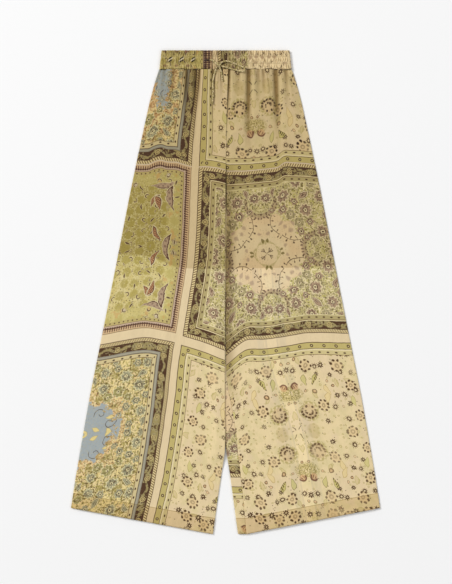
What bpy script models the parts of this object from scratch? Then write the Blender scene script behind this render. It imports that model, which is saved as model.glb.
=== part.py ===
"""Palazzo pants laid flat with the front up, after the way they are cut and sewn.

The waist is toward +Y, the hems toward -Y and the front faces +Z.  Left and right are the
wearer's, so the right leg lies on the -X side.  Units are metres.  The origin is in the middle of
the laid garment's length and width, on the surface that it rests on.

Each panel is a grid of points on the panel's outer face, which Solidify thickens inward.  A point
of a leg is found from its share of the way across the leg (0 at the outseam, 1 at the inner edge)
and its drop, the distance below the waistband's lower edge.
"""
import math
from collections import namedtuple

import bmesh
import bpy
from mathutils import Vector

# Driving sizes of the garment
LENGTH = 1.111                  # waistband's top to the hem's lowest corner
BAND_HEIGHT = 0.043             # waistband
BAND_HALF_TOP = 0.147           # half of the waistband's laid width, at its top
BAND_HALF_FOOT = 0.152          # and at the seam with the legs
OUTSEAM = 1.0075                # waistband seam to hem, measured down the page at the outer side

# Cloth
WALL = 0.0012                   # a single layer
HEM_WALL = 0.0018               # a hem turned up inside
HEM_DEPTH = 0.037
SEAM_GAP = 0.0003
WAIST_SEAM_GAP = 0.0005         # where the tilted edges of the gathered legs meet the waistband
BAND_WALL = 0.0022              # cloth doubled over elastic
BAND_STACK = 0.0064             # waistband's front and back lying on each other

# The right leg laps over the left one between the crotch and the knee
LAP_LIFT = 0.0048
LAP_RAMP = (-0.050, -0.018)     # the right leg's inner margin climbs between these x
FOLD_STACK = 0.0042             # height of the left leg's folded inner margin
FOLD_START = 0.240              # drop at which the margin starts to fold over, just below the crotch
FOLD_TAPER = 0.100              # and the length in which it does so
FOLD_LEAD = 0.004               # flat cloth before the fold, with columns as close as the fold's

TOP = LENGTH / 2
BAND_FOOT = TOP - BAND_HEIGHT
LEG_TOP = BAND_FOOT - WAIST_SEAM_GAP
INNER_DROP = LEG_TOP + LENGTH / 2   # leg's top to the hem at the inner side, as each hem slants

# Seen from above: where the leg's outer side and the inner edges run at each drop.  The left back's
# fold is the left leg's inner edge, and its seam with the left front lies inward of that.
LegLine = namedtuple("LegLine", "drop half_width right_inner left_fold left_seam")
LEG_LINES = (
    LegLine(0.000, 0.1523, 0.0057, 0.0060, 0.0060),
    LegLine(0.024, 0.1605, 0.0051, 0.0054, 0.0054),
    LegLine(0.070, 0.1731, 0.0039, 0.0042, 0.0042),
    LegLine(0.116, 0.1835, 0.0027, 0.0030, 0.0030),
    LegLine(0.185, 0.1986, 0.0015, 0.0018, 0.0018),
    LegLine(0.232, 0.2085, 0.0007, 0.0010, 0.0010),
    LegLine(0.300, 0.2224, -0.0003, -0.0050, 0.0030),
    LegLine(0.400, 0.2419, -0.0008, -0.0090, 0.0019),
    LegLine(0.530, 0.2676, -0.0011, -0.0120, -0.0001),
    LegLine(0.668, 0.2954, -0.0011, -0.0120, 0.0009),
    LegLine(0.725, 0.3067, -0.0011, -0.0110, 0.0045),
    LegLine(0.753, 0.3122, -0.0011, -0.0095, 0.0104),
    LegLine(0.800, 0.3207, -0.0009, -0.0065, 0.0189),
    LegLine(0.842, 0.3281, -0.0006, -0.0028, 0.0250),
    LegLine(0.880, 0.3346, -0.0020, 0.0022, 0.0283),
    LegLine(0.934, 0.3439, -0.0100, 0.0106, 0.0352),
    LegLine(1.000, 0.3540, -0.0198, 0.0195, 0.0421),
    LegLine(1.068, 0.3640, -0.0287, 0.0288, 0.0481),
)

# Valleys between the gathers: x at the waistband, sideways drift on the way down, how far down the
# valley reaches, its depth and its half-width.
Valley = namedtuple("Valley", "x drift reach depth half_width")
RIGHT_FRONT_VALLEYS = (
    Valley(-0.139, -0.012, 0.085, 0.0022, 0.005),
    Valley(-0.118, -0.014, 0.150, 0.0030, 0.006),
    Valley(-0.089, -0.006, 0.190, 0.0042, 0.006),
    Valley(-0.068, -0.006, 0.230, 0.0042, 0.005),
    Valley(-0.051, -0.004, 0.120, 0.0024, 0.004),
    Valley(-0.028, -0.003, 0.140, 0.0036, 0.005),
    Valley(-0.009, 0.002, 0.100, 0.0024, 0.004),
)
LEFT_FRONT_VALLEYS = (
    Valley(0.008, -0.006, 0.190, 0.0044, 0.005),
    Valley(0.030, 0.002, 0.095, 0.0022, 0.005),
    Valley(0.053, -0.001, 0.260, 0.0052, 0.006),
    Valley(0.075, 0.003, 0.120, 0.0024, 0.005),
    Valley(0.087, 0.003, 0.100, 0.0024, 0.004),
    Valley(0.115, 0.008, 0.230, 0.0052, 0.006),
    Valley(0.138, 0.008, 0.120, 0.0030, 0.005),
)
# On the back the gathers are ridges of the underside that stay clear of the surface
BACK_RIDGES = (
    Valley(-0.120, -0.014, 0.150, 0.0010, 0.006),
    Valley(-0.091, -0.010, 0.230, 0.0013, 0.006),
    Valley(-0.062, -0.006, 0.130, 0.0010, 0.005),
    Valley(-0.034, -0.004, 0.200, 0.0012, 0.006),
    Valley(0.034, 0.004, 0.180, 0.0012, 0.006),
    Valley(0.063, 0.008, 0.140, 0.0010, 0.005),
    Valley(0.094, 0.010, 0.240, 0.0013, 0.006),
    Valley(0.122, 0.014, 0.150, 0.0010, 0.006),
)

# Long soft folds of the fronts below the gathers: where each runs at its top and foot, its height
LongFold = namedtuple("LongFold", "top_x foot_x start end height half_width")
LONG_FOLDS = (
    LongFold(-0.155, -0.250, 0.12, 0.85, 0.0010, 0.016),
    LongFold(-0.105, -0.165, 0.14, 1.00, 0.0012, 0.018),
    LongFold(-0.045, -0.085, 0.20, 0.95, 0.0010, 0.016),
    LongFold(0.072, 0.105, 0.16, 0.90, 0.0013, 0.018),
    LongFold(0.128, 0.190, 0.15, 1.00, 0.0011, 0.018),
    LongFold(0.160, 0.275, 0.14, 0.90, 0.0010, 0.016),
)

# Loft of the fronts over the backs, away from the edges
WAIST_LOFT = 0.0056             # beside the waistband
LEG_LOFT = 0.0008               # down the legs
WAIST_LOFT_REACH = 0.22
EDGE_RISE = 0.024               # a front climbs from its edges to its loft over this width
BAND_LIFT = 0.0007              # the backs climb a little into the thicker waistband
BAND_LIFT_REACH = 0.030

# Mesh density
FRONT_COLUMNS = 34
BACK_COLUMNS = 18
STRIP_COLUMNS = 9               # round the left leg's folded margin
LEG_ROWS = 24
FOLD_TAPER_ROWS = 6             # rows where the left leg's margin starts to fold over
ROW_GROWTH = 1.35               # rows are closer together near the waist
GATHERS_A_SIDE = 33             # fine gathers across the front of the waistband, and the back
COLUMNS_A_GATHER = 4
BAND_END_COLUMNS = 6
BAND_ROWS = 3
FRONT_GATHER = 0.0007           # half height of a fine gather
BACK_GATHER = 0.0003

# Drawstring
TIE_DIAMETER = 0.0040
KNOT_SIZE = (0.0120, 0.0110, 0.0054)
KNOT_CENTRE = (-0.0161, 0.5210, 0.0101)
TIE_POINT_STEP = 0.0045
# Routes of the tie, from the knot outward but for the lead, which runs from its buttonhole
LEAD_ROUTE = (
    (-0.0363, 0.5330, 0.0091), (-0.0329, 0.5332, 0.0091), (-0.0293, 0.5320, 0.0092),
    (-0.0253, 0.5282, 0.0094), (-0.0211, 0.5243, 0.0096),
)
LOOP_ROUTE = (
    (-0.0118, 0.5251, 0.0097), (-0.0061, 0.5288, 0.0094), (0.0024, 0.5304, 0.0093),
    (0.0119, 0.5282, 0.0093), (0.0219, 0.5242, 0.0093), (0.0319, 0.5202, 0.0094),
    (0.0409, 0.5158, 0.0098), (0.0447, 0.5108, 0.0108), (0.0414, 0.5068, 0.0117),
    (0.0329, 0.5072, 0.0114), (0.0229, 0.5098, 0.0112), (0.0119, 0.5128, 0.0101),
    (0.0009, 0.5160, 0.0096), (-0.0099, 0.5191, 0.0098),
)
TAIL_ROUTE = (
    (-0.0197, 0.5161, 0.0099), (-0.0223, 0.5100, 0.0107), (-0.0251, 0.5030, 0.0094),
    (-0.0273, 0.4940, 0.0084), (-0.0287, 0.4840, 0.0084), (-0.0291, 0.4730, 0.0086),
    (-0.0285, 0.4620, 0.0088), (-0.0288, 0.4510, 0.0088), (-0.0307, 0.4330, 0.0088),
)
END_ROUTE = (
    (-0.0136, 0.5157, 0.0098), (-0.0109, 0.5090, 0.0102), (-0.0091, 0.5020, 0.0093),
    (-0.0079, 0.4940, 0.0092), (-0.0073, 0.4850, 0.0094),
)

# Colours: the printed cloth's mean on each piece
CREAM_PRINT = (0.62, 0.53, 0.34)
OLIVE_PRINT = (0.42, 0.39, 0.20)
BAND_PRINT = (0.40, 0.34, 0.18)
TIE_PRINT = (0.45, 0.38, 0.22)
CLOTH_ROUGHNESS = 0.75


def clear_scene():
    for item in list(bpy.data.objects):
        bpy.data.objects.remove(item, do_unlink=True)


def smooth(share):
    share = min(max(share, 0.0), 1.0)
    return share * share * (3.0 - 2.0 * share)


def leg_line(drop, column):
    """A column of LEG_LINES at a drop, on a smooth curve through the rows."""
    rows = LEG_LINES
    above = 0
    while above < len(rows) - 2 and rows[above + 1].drop < drop:
        above += 1
    start, end = rows[above], rows[above + 1]
    span = end.drop - start.drop
    share = min(max((drop - start.drop) / span, 0.0), 1.0)
    values = [getattr(rows[min(max(i, 0), len(rows) - 1)], column)
              for i in range(above - 1, above + 3)]
    drops = [rows[min(max(i, 0), len(rows) - 1)].drop for i in range(above - 1, above + 3)]
    start_slope = (values[2] - values[0]) / (drops[2] - drops[0])
    end_slope = (values[3] - values[1]) / (drops[3] - drops[1])
    square, cube = share * share, share * share * share
    return ((2 * cube - 3 * square + 1) * values[1] + (cube - 2 * square + share) * span * start_slope
            + (3 * square - 2 * cube) * values[2] + (cube - square) * span * end_slope)


def wall_at(hem_distance):
    """Thickness of a leg's wall: doubled cloth at the hem, with a short step above it."""
    step = smooth((HEM_DEPTH - hem_distance) / 0.004 + 0.5)
    return WALL + (HEM_WALL - WALL) * step


def valleys_at(valleys, x, drop):
    depth = 0.0
    for valley in valleys:
        down = drop / valley.reach
        middle = valley.x + valley.drift * min(down, 1.0)
        spread = valley.half_width * (1.0 + 0.6 * min(down, 1.0))
        depth += valley.depth * smooth(1.0 - down) * math.exp(-((x - middle) / spread) ** 2)
    return depth


def long_folds_at(x, drop):
    height = 0.0
    for fold in LONG_FOLDS:
        share = (drop - fold.start) / (fold.end - fold.start)
        if 0.0 < share < 1.0:
            middle = fold.top_x + (fold.foot_x - fold.top_x) * share
            height += (fold.height * math.sin(math.pi * share) ** 0.7
                       * math.exp(-((x - middle) / fold.half_width) ** 2))
    return height


def lap_lift(x, drop):
    """How far the right leg's inner margin is carried by the left leg that it laps over."""
    along = smooth((drop - 0.198) / 0.036) * smooth((0.925 - drop) / 0.060)
    across = smooth((x - LAP_RAMP[0]) / (LAP_RAMP[1] - LAP_RAMP[0]))
    return LAP_LIFT * along * across


def back_height(side, x, drop):
    """Underside of a back panel above the surface."""
    height = BAND_LIFT * smooth(1.0 - drop / BAND_LIFT_REACH) + valleys_at(BACK_RIDGES, x, drop)
    if side < 0:
        height += lap_lift(x, drop)
    return height


def front_height(side, x, drop, from_outseam, from_inner, hem_distance):
    """Outer face of a front panel above the surface."""
    wall = wall_at(hem_distance)
    stack = 2 * wall + SEAM_GAP
    if side > 0:
        inner_stack = max(FOLD_STACK * smooth((drop - 0.150) / 0.080), stack)
        stack += (inner_stack - stack) * smooth(1.0 - from_inner / EDGE_RISE)
    loft = LEG_LOFT + (WAIST_LOFT - LEG_LOFT) * smooth(1.0 - drop / WAIST_LOFT_REACH)
    rise = smooth(from_outseam / EDGE_RISE)
    if drop > 0.2:
        rise *= smooth(from_inner / EDGE_RISE)
    valleys = RIGHT_FRONT_VALLEYS if side < 0 else LEFT_FRONT_VALLEYS
    relief = loft * rise + long_folds_at(x, drop) * rise - valleys_at(valleys, x, drop)
    return back_height(side, x, drop) + stack + max(relief, SEAM_GAP * rise)


def row_shares(taper_rows=0):
    """Shares of the way down a leg at which its rows of points lie, with two at the hem's top."""
    shares = [(row / LEG_ROWS) ** ROW_GROWTH for row in range(LEG_ROWS + 1)]
    hem = 1.0 - HEM_DEPTH / INNER_DROP
    extra = [hem - 0.002, hem + 0.002]
    extra += [(FOLD_START + FOLD_TAPER * row / taper_rows) / INNER_DROP for row in range(taper_rows)]
    shares = [share for share in shares if min(abs(share - other) for other in extra) > 0.008]
    return sorted(shares + extra)


def leg_point(side, across, down, inner_column):
    """Plan position of a leg's point, with its drop, its distances to the edges and to the hem."""
    outer_drop = OUTSEAM * down
    inner_drop = INNER_DROP * down
    outer_x = side * leg_line(outer_drop, "half_width")
    inner_x = leg_line(inner_drop, inner_column)
    x = outer_x + (inner_x - outer_x) * across
    drop = outer_drop + (inner_drop - outer_drop) * across
    return x, drop, abs(x - outer_x), abs(x - inner_x), (1.0 - down) * INNER_DROP


def panel_grid(columns, shares, place):
    """A grid of points from place(across, down), across and down running from 0 to 1."""
    bm = bmesh.new()
    rows = len(shares) - 1
    bmesh.ops.create_grid(bm, x_segments=columns, y_segments=rows, size=0.5)
    for vert in bm.verts:
        across = vert.co.x + 0.5
        down = shares[round((0.5 - vert.co.y) * rows)]
        vert.co = place(across, down)
    return bm


def face_toward(bm, direction):
    """Turn a panel's faces so that its outer side looks in the given direction."""
    bm.normal_update()
    mean = sum((face.normal * face.calc_area() for face in bm.faces), Vector())
    if mean.dot(direction) < 0:
        bmesh.ops.reverse_faces(bm, faces=bm.faces)


def finish_piece(bm, name, collection, material, thickness):
    """Thicken the outer face inward and add the piece to the garment."""
    mesh = bpy.data.meshes.new(name)
    bm.to_mesh(mesh)
    bm.free()
    mesh.shade_smooth()
    mesh.materials.append(material)
    piece = bpy.data.objects.new(name, mesh)
    collection.objects.link(piece)
    solidify = piece.modifiers.new("cloth wall", "SOLIDIFY")
    solidify.thickness = thickness
    solidify.offset = -1.0
    return piece


def thicken_hem(piece, hem_distances):
    """The wall is full at the hem and thinner above, by a vertex group that Solidify reads."""
    group = piece.vertex_groups.new(name="hem")
    for index, distance in enumerate(hem_distances):
        group.add([index], (wall_at(distance) - WALL) / (HEM_WALL - WALL), "REPLACE")
    solidify = piece.modifiers["cloth wall"]
    solidify.vertex_group = group.name
    solidify.thickness_vertex_group = WALL / HEM_WALL


def front_panel(name, side, collection, material):
    inner_column = "right_inner" if side < 0 else "left_seam"
    hem_distances = []

    def place(across, down):
        x, drop, from_outseam, from_inner, hem = leg_point(side, across, down, inner_column)
        hem_distances.append(hem)
        if side > 0:
            x += SEAM_GAP * smooth((drop - 0.230) / 0.030) * smooth(1 - from_inner / EDGE_RISE)
        z = front_height(side, x, drop, from_outseam, from_inner, hem)
        return Vector((x, LEG_TOP - drop, z))

    bm = panel_grid(FRONT_COLUMNS, row_shares(), place)
    face_toward(bm, Vector((0, 0, 1)))
    piece = finish_piece(bm, name, collection, material, HEM_WALL)
    thicken_hem(piece, hem_distances)
    return piece


def right_back_panel(collection, material):
    hem_distances = []

    def place(across, down):
        x, drop, _, _, hem = leg_point(-1, across, down, "right_inner")
        hem_distances.append(hem)
        return Vector((x, LEG_TOP - drop, back_height(-1, x, drop)))

    bm = panel_grid(BACK_COLUMNS, row_shares(), place)
    face_toward(bm, Vector((0, 0, -1)))
    piece = finish_piece(bm, "right_back", collection, material, HEM_WALL)
    thicken_hem(piece, hem_distances)
    return piece


def fold_over(run, bend_x, base):
    """Place of a point that lies `run` past the bend's start: round the half circle, then on top."""
    radius = FOLD_STACK / 2
    half_turn = math.pi * radius
    if run <= 0:
        return bend_x - run, base
    if run < half_turn:
        angle = run / radius
        return bend_x - radius * math.sin(angle), base + radius * (1 - math.cos(angle))
    return bend_x + run - half_turn, base + FOLD_STACK


def left_back_panel(collection, material):
    """The panel runs flat to the leg's inner edge, then folds up and over to its seam on top."""
    hem_distances = []
    radius = FOLD_STACK / 2
    flat_share = BACK_COLUMNS / (BACK_COLUMNS + STRIP_COLUMNS)

    def place(across, down):
        inner_drop = INNER_DROP * down
        outer_x = leg_line(OUTSEAM * down, "half_width")
        fold_x = leg_line(inner_drop, "left_fold")
        turned = smooth((inner_drop - FOLD_START) / FOLD_TAPER)
        bend_x = fold_x + radius * turned
        strip = leg_line(inner_drop, "left_seam") - fold_x - radius
        margin = turned * (math.pi * radius + max(strip, 0.0))
        flat = outer_x - bend_x
        if across <= flat_share:
            run = -flat + (flat - FOLD_LEAD) * across / flat_share
        else:
            run = -FOLD_LEAD + (margin + FOLD_LEAD) * (across - flat_share) / (1 - flat_share)
        flat_x = bend_x - min(run, 0.0)
        drop = inner_drop + (OUTSEAM - INNER_DROP) * down * (flat_x - fold_x) / (outer_x - fold_x)
        x, z = fold_over(run, bend_x, back_height(1, flat_x, drop))
        hem_distances.append((1.0 - down) * INNER_DROP)
        return Vector((x, LEG_TOP - drop, z))

    bm = panel_grid(BACK_COLUMNS + STRIP_COLUMNS, row_shares(FOLD_TAPER_ROWS), place)
    face_toward(bm, Vector((0, 0, -1)))
    piece = finish_piece(bm, "left_back", collection, material, HEM_WALL)
    thicken_hem(piece, hem_distances)
    return piece


def waistband(collection, material):
    """A flattened ring of shirred cloth: front, right-hand end, back and left-hand end."""
    face_columns = GATHERS_A_SIDE * COLUMNS_A_GATHER
    columns = 2 * (face_columns + BAND_END_COLUMNS)
    radius = BAND_STACK / 2

    def gather(x, column):
        uneven = 0.8 + 0.2 * math.sin(150 * x) * math.sin(61 * x + 1)
        fade = smooth((BAND_HALF_TOP - abs(x)) / 0.012)
        return uneven * fade * math.cos(2 * math.pi * column / COLUMNS_A_GATHER)

    def place(across, down):
        column = round(across * columns)
        straight = BAND_HALF_TOP + (BAND_HALF_FOOT - BAND_HALF_TOP) * down - radius
        y = TOP - BAND_HEIGHT * down
        if column <= face_columns:
            x = straight * (2 * column / face_columns - 1)
            return Vector((x, y, BAND_STACK + FRONT_GATHER * gather(x, column)))
        column -= face_columns
        if column < BAND_END_COLUMNS:
            angle = math.pi * column / BAND_END_COLUMNS
            return Vector((straight + radius * math.sin(angle), y, radius * (1 + math.cos(angle))))
        column -= BAND_END_COLUMNS
        if column <= face_columns:
            x = straight * (1 - 2 * column / face_columns)
            return Vector((x, y, BACK_GATHER * (1 - gather(x, column)) * 0.5))
        angle = math.pi * (column - face_columns) / BAND_END_COLUMNS
        return Vector((-straight - radius * math.sin(angle), y, radius * (1 - math.cos(angle))))

    bm = panel_grid(columns, [row / BAND_ROWS for row in range(BAND_ROWS + 1)], place)
    bmesh.ops.remove_doubles(bm, verts=bm.verts, dist=1e-5)
    bmesh.ops.recalc_face_normals(bm, faces=bm.faces)
    return finish_piece(bm, "waistband", collection, material, BAND_WALL)


def smooth_route(route, step):
    """Points about a step apart on a smooth curve through the route's own points."""
    knots = [Vector(point) for point in route]
    knots = [knots[0] * 2 - knots[1]] + knots + [knots[-1] * 2 - knots[-2]]
    points = []
    for before, start, end, after in zip(knots, knots[1:], knots[2:], knots[3:]):
        count = max(1, round((end - start).length / step))
        for index in range(count):
            t = index / count
            points.append(0.5 * (2 * start + (end - before) * t
                                 + (2 * before - 5 * start + 4 * end - after) * t ** 2
                                 + (3 * start - before - 3 * end + after) * t ** 3))
    return points + [knots[-2]]


def tie_length(name, route, collection, material):
    """One stretch of the drawstring."""
    curve = bpy.data.curves.new(name, "CURVE")
    curve.dimensions = "3D"
    curve.bevel_depth = TIE_DIAMETER / 2
    curve.bevel_resolution = 2
    curve.use_fill_caps = True
    points = smooth_route(route, TIE_POINT_STEP)
    spline = curve.splines.new("POLY")
    spline.points.add(len(points) - 1)
    for spline_point, point in zip(spline.points, points):
        spline_point.co = (*point, 1.0)
    curve.materials.append(material)
    collection.objects.link(bpy.data.objects.new(name, curve))


def tie_knot(collection, material):
    """The half bow's knot, pulled tight."""
    bm = bmesh.new()
    bmesh.ops.create_uvsphere(bm, u_segments=14, v_segments=8, radius=0.5)
    bmesh.ops.scale(bm, vec=KNOT_SIZE, verts=bm.verts)
    bmesh.ops.translate(bm, vec=KNOT_CENTRE, verts=bm.verts)
    mesh = bpy.data.meshes.new("drawstring_knot")
    bm.to_mesh(mesh)
    bm.free()
    mesh.shade_smooth()
    mesh.materials.append(material)
    collection.objects.link(bpy.data.objects.new("drawstring_knot", mesh))


def cloth_material(name, colour):
    material = bpy.data.materials.new(name)
    material.use_nodes = True
    shader = material.node_tree.nodes["Principled BSDF"]
    shader.inputs["Base Color"].default_value = (*colour, 1.0)
    shader.inputs["Roughness"].default_value = CLOTH_ROUGHNESS
    shader.inputs["Metallic"].default_value = 0.0
    return material


def build_pants():
    clear_scene()
    collection = bpy.data.collections.new("palazzo_pants")
    bpy.context.scene.collection.children.link(collection)
    front_panel("right_front", -1, collection, cloth_material("right front print", OLIVE_PRINT))
    front_panel("left_front", 1, collection, cloth_material("left front print", CREAM_PRINT))
    right_back_panel(collection, cloth_material("right back print", CREAM_PRINT))
    left_back_panel(collection, cloth_material("left back print", OLIVE_PRINT))
    waistband(collection, cloth_material("waistband print", BAND_PRINT))
    tie_knot(collection, cloth_material("knot print", TIE_PRINT))
    for name, route in (("drawstring_lead", LEAD_ROUTE), ("drawstring_loop", LOOP_ROUTE),
                        ("drawstring_tail", TAIL_ROUTE), ("drawstring_end", END_ROUTE)):
        tie_length(name, route, collection, cloth_material(name + " print", TIE_PRINT))


build_pants()
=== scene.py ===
"""Looks of the palazzo pants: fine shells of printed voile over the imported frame, laid flat.

Left and right are the wearer's.  The waist is toward +Y and the right leg lies on the -X side.
"""
import math
from collections import namedtuple

import bmesh
import bpy
from mathutils import Matrix, Vector, noise
from mathutils.bvhtree import BVHTree


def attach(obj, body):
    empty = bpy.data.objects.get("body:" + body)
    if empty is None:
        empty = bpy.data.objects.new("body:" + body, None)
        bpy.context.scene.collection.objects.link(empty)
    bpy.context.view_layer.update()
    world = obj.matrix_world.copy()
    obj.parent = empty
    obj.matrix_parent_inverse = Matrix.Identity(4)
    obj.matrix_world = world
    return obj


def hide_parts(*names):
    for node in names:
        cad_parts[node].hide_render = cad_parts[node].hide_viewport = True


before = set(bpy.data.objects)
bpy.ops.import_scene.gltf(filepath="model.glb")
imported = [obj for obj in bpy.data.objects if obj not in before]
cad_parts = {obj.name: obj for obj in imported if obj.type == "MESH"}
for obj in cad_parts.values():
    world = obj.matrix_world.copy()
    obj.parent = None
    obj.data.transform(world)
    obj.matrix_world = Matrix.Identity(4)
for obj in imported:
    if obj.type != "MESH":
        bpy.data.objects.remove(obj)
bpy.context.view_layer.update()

# ---------------------------------------------------------------------------------------------
# View: a long lens straight above the pants, far enough away that the cloth shows no perspective.
# ---------------------------------------------------------------------------------------------
FRAME_HEIGHT = 1.343            # length of surface that the picture's height takes in
VIEW_CENTRE = (0.0011, 0.0008)
LENS = 90.0
SENSOR = 36.0


def in_scene(name, data):
    made = bpy.data.objects.new(name, data)
    bpy.context.scene.collection.objects.link(made)
    return made


camera = in_scene("camera", bpy.data.cameras.new("camera"))
camera.data.lens = LENS
camera.data.sensor_width = SENSOR
camera.location = (*VIEW_CENTRE, FRAME_HEIGHT * LENS / SENSOR)
camera.data.clip_end = 20.0
bpy.context.scene.camera = camera

# ---------------------------------------------------------------------------------------------
# Print: a patchwork of square blocks with borders inside their edges, each mirrored about its
# centre both ways and printed on cream.  It is worked out on the cloth's own crosswise and
# lengthwise measure, in metres, so it follows every fold.
# ---------------------------------------------------------------------------------------------
BLOCK = 0.400                   # width of a block
STRIPE = 0.016                  # cream stripe between the columns of blocks
ROW_HEIGHT = 0.387              # the middle row, of the olive and sage blocks
ROW_STRIPE = 0.021              # cream stripe below it
UPPER_MIDDLE = -0.190           # middle of the pale and rich blocks above the middle row
LOWER_MIDDLE = ROW_HEIGHT + ROW_STRIPE + 0.204
EDGE = 0.0005                   # softness of a printed edge


def ink(red, green, blue):
    """A printed colour, from its values out of 255 on screen to the shader's linear ones."""
    values = [part / 255.0 for part in (red, green, blue)]
    return tuple(v / 12.92 if v <= 0.04045 else ((v + 0.055) / 1.055) ** 2.4 for v in values)


CREAM = ink(226, 205, 160)
CREAM_STRIPE = ink(228, 206, 164)
SAND = ink(213, 190, 138)
OLIVE = ink(168, 152, 78)
OLIVE_DARK = ink(122, 108, 52)
OLIVE_LIGHT = ink(200, 184, 114)
MAUVE_DARK = ink(108, 80, 66)
BROWN = ink(82, 56, 36)
SEPIA = ink(122, 92, 58)
PEACH = ink(222, 182, 134)
YELLOW = ink(228, 206, 138)
STAR_BROWN = ink(88, 62, 36)
BLUE = ink(163, 171, 172)
WHITE = ink(236, 220, 196)


class Field:
    """A number that varies over the cloth; arithmetic on it adds Math nodes to its tree."""

    def __init__(self, tree, socket):
        self.tree = tree
        self.socket = socket

    def math(self, operation, *others):
        node = self.tree.nodes.new("ShaderNodeMath")
        node.operation = operation
        for slot, value in zip(node.inputs, (self, *others)):
            if isinstance(value, Field):
                self.tree.links.new(value.socket, slot)
            else:
                slot.default_value = value
        return Field(self.tree, node.outputs[0])

    def __add__(self, other):
        return self.math("ADD", other)

    def __sub__(self, other):
        return self.math("SUBTRACT", other)

    def __rsub__(self, other):
        return self.math("MULTIPLY_ADD", -1.0, other)

    def __mul__(self, other):
        return self.math("MULTIPLY", other)

    def __truediv__(self, other):
        return self.math("DIVIDE", other)

    __radd__ = __add__
    __rmul__ = __mul__

    def size(self):
        return self.math("ABSOLUTE")

    def clipped(self):
        """The field held between 0 and 1."""
        node = self.tree.nodes.new("ShaderNodeClamp")
        self.tree.links.new(self.socket, node.inputs[0])
        return Field(self.tree, node.outputs[0])

    def wrap(self, period):
        return self.math("WRAP", period, 0.0)

    def least(self, other):
        return self.math("MINIMUM", other)

    def most(self, other):
        return self.math("MAXIMUM", other)

    def wave(self, count):
        """A cosine of the field times count."""
        return (self * count).math("COSINE")

    def above(self, limit, soft=EDGE):
        """1 where the field is above the limit and 0 below it, with a soft step."""
        if isinstance(limit, Field):
            return (self - limit).above(0.0, soft)
        return self.math("MULTIPLY_ADD", 0.5 / soft, 0.5 - 0.5 * limit / soft).clipped()

    def below(self, limit, soft=EDGE):
        if isinstance(limit, Field):
            return (self - limit).below(0.0, soft)
        return self.math("MULTIPLY_ADD", -0.5 / soft, 0.5 + 0.5 * limit / soft).clipped()

    def between(self, low, high, soft=EDGE):
        return (self - (low + high) / 2).size().below((high - low) / 2, soft)


def node_of(tree, kind, **settings):
    node = tree.nodes.new("ShaderNode" + kind)
    for name, value in settings.items():
        setattr(node, name, value)
    return node


def paint(tree, under, over, mask, blend="MIX"):
    """The colour under, covered by the colour over where the mask is 1."""
    node = node_of(tree, "Mix", data_type="RGBA", blend_type=blend)
    for slot, value in ((node.inputs[0], mask), (node.inputs[6], under), (node.inputs[7], over)):
        if isinstance(value, Field):
            tree.links.new(value.socket, slot)
        elif isinstance(value, bpy.types.NodeSocket):
            tree.links.new(value, slot)
        elif isinstance(value, tuple):
            slot.default_value = (*value, 1.0)
        else:
            slot.default_value = value
    return node.outputs[2]


def bands(field, reach, rows):
    """Flat bands of colour over a field from 0 to reach; a row gives a band's start and colour.
    Returns the colour and where it covers, which is nowhere in a band without a colour."""
    share = field / reach
    node = node_of(field.tree, "ValToRGB")
    ramp = node.color_ramp
    ramp.interpolation = "CONSTANT"
    ramp.elements.remove(ramp.elements[1])
    field.tree.links.new(share.socket, node.inputs[0])
    for index, (start, colour) in enumerate(rows):
        stop = ramp.elements.new(start / reach) if index else ramp.elements[0]
        stop.color = (*colour, 1.0) if colour else (0.0, 0.0, 0.0, 0.0)
    return node.outputs[0], Field(field.tree, node.outputs[1])


class Coats:
    """A colour built up coat by coat, each over the ones before it."""

    def __init__(self, tree, ground):
        self.tree, self.colour = tree, ground

    def coat(self, colour, mask, blend="MIX"):
        self.colour = paint(self.tree, self.colour, colour, mask, blend)

    def stamp(self, field, reach, rows, shows=None):
        """A coat of flat bands over a field, as bands() makes them."""
        colour, cover = bands(field, reach, rows)
        self.coat(colour, cover * shows if shows else cover)


def point(x, y):
    node = node_of(x.tree, "CombineXYZ")
    for field, slot in zip((x, y), node.inputs):
        x.tree.links.new(field.socket, slot)
    return node.outputs[0]


def distance(x, y):
    return (x * x + y * y).math("SQRT")


def parts(vector):
    tree = vector.id_data
    node = node_of(tree, "SeparateXYZ")
    tree.links.new(vector, node.inputs[0])
    return [Field(tree, part) for part in node.outputs]


def grain(vector, size, detail=2.0):
    """Soft noise from 0 to 1, with blotches of about the given size."""
    tree = vector.id_data
    node = node_of(tree, "TexNoise", noise_dimensions="2D")
    tree.links.new(vector, node.inputs["Vector"])
    node.inputs["Scale"].default_value = 1.0 / size
    node.inputs["Detail"].default_value = detail
    return Field(tree, node.outputs["Fac"])


Motif = namedtuple("Motif", "radius turn chance kind")


def scatter(vector, spacing, evenness=0.4):
    """Places for motifs about a spacing apart, each turned at random: how far a point of the
    cloth lies from its nearest place and in which direction, and two random numbers of it."""
    tree = vector.id_data
    cells = node_of(tree, "TexVoronoi", voronoi_dimensions="2D", feature="F1")
    tree.links.new(vector, cells.inputs["Vector"])
    cells.inputs["Scale"].default_value = 1.0 / spacing
    cells.inputs["Randomness"].default_value = 1.0 - evenness
    local = node_of(tree, "VectorMath", operation="SUBTRACT")
    tree.links.new(vector, local.inputs[0])
    tree.links.new(cells.outputs["Position"], local.inputs[1])
    split = node_of(tree, "SeparateColor")
    tree.links.new(cells.outputs["Color"], split.inputs[0])
    chance, turn, kind = (Field(tree, part) for part in split.outputs)
    x, y, _ = parts(local.outputs[0])
    return Motif(distance(x, y), y.math("ARCTAN2", x) + turn * (2 * math.pi), chance, kind)


def petals(motif, count, depth):
    """The motif's radius drawn in and out, so that a circle of it has that many petals; motifs
    differ in size by their kind."""
    return motif.radius / ((motif.turn.wave(count) * depth + 1.0) * (motif.kind * 0.42 + 0.76))


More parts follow.
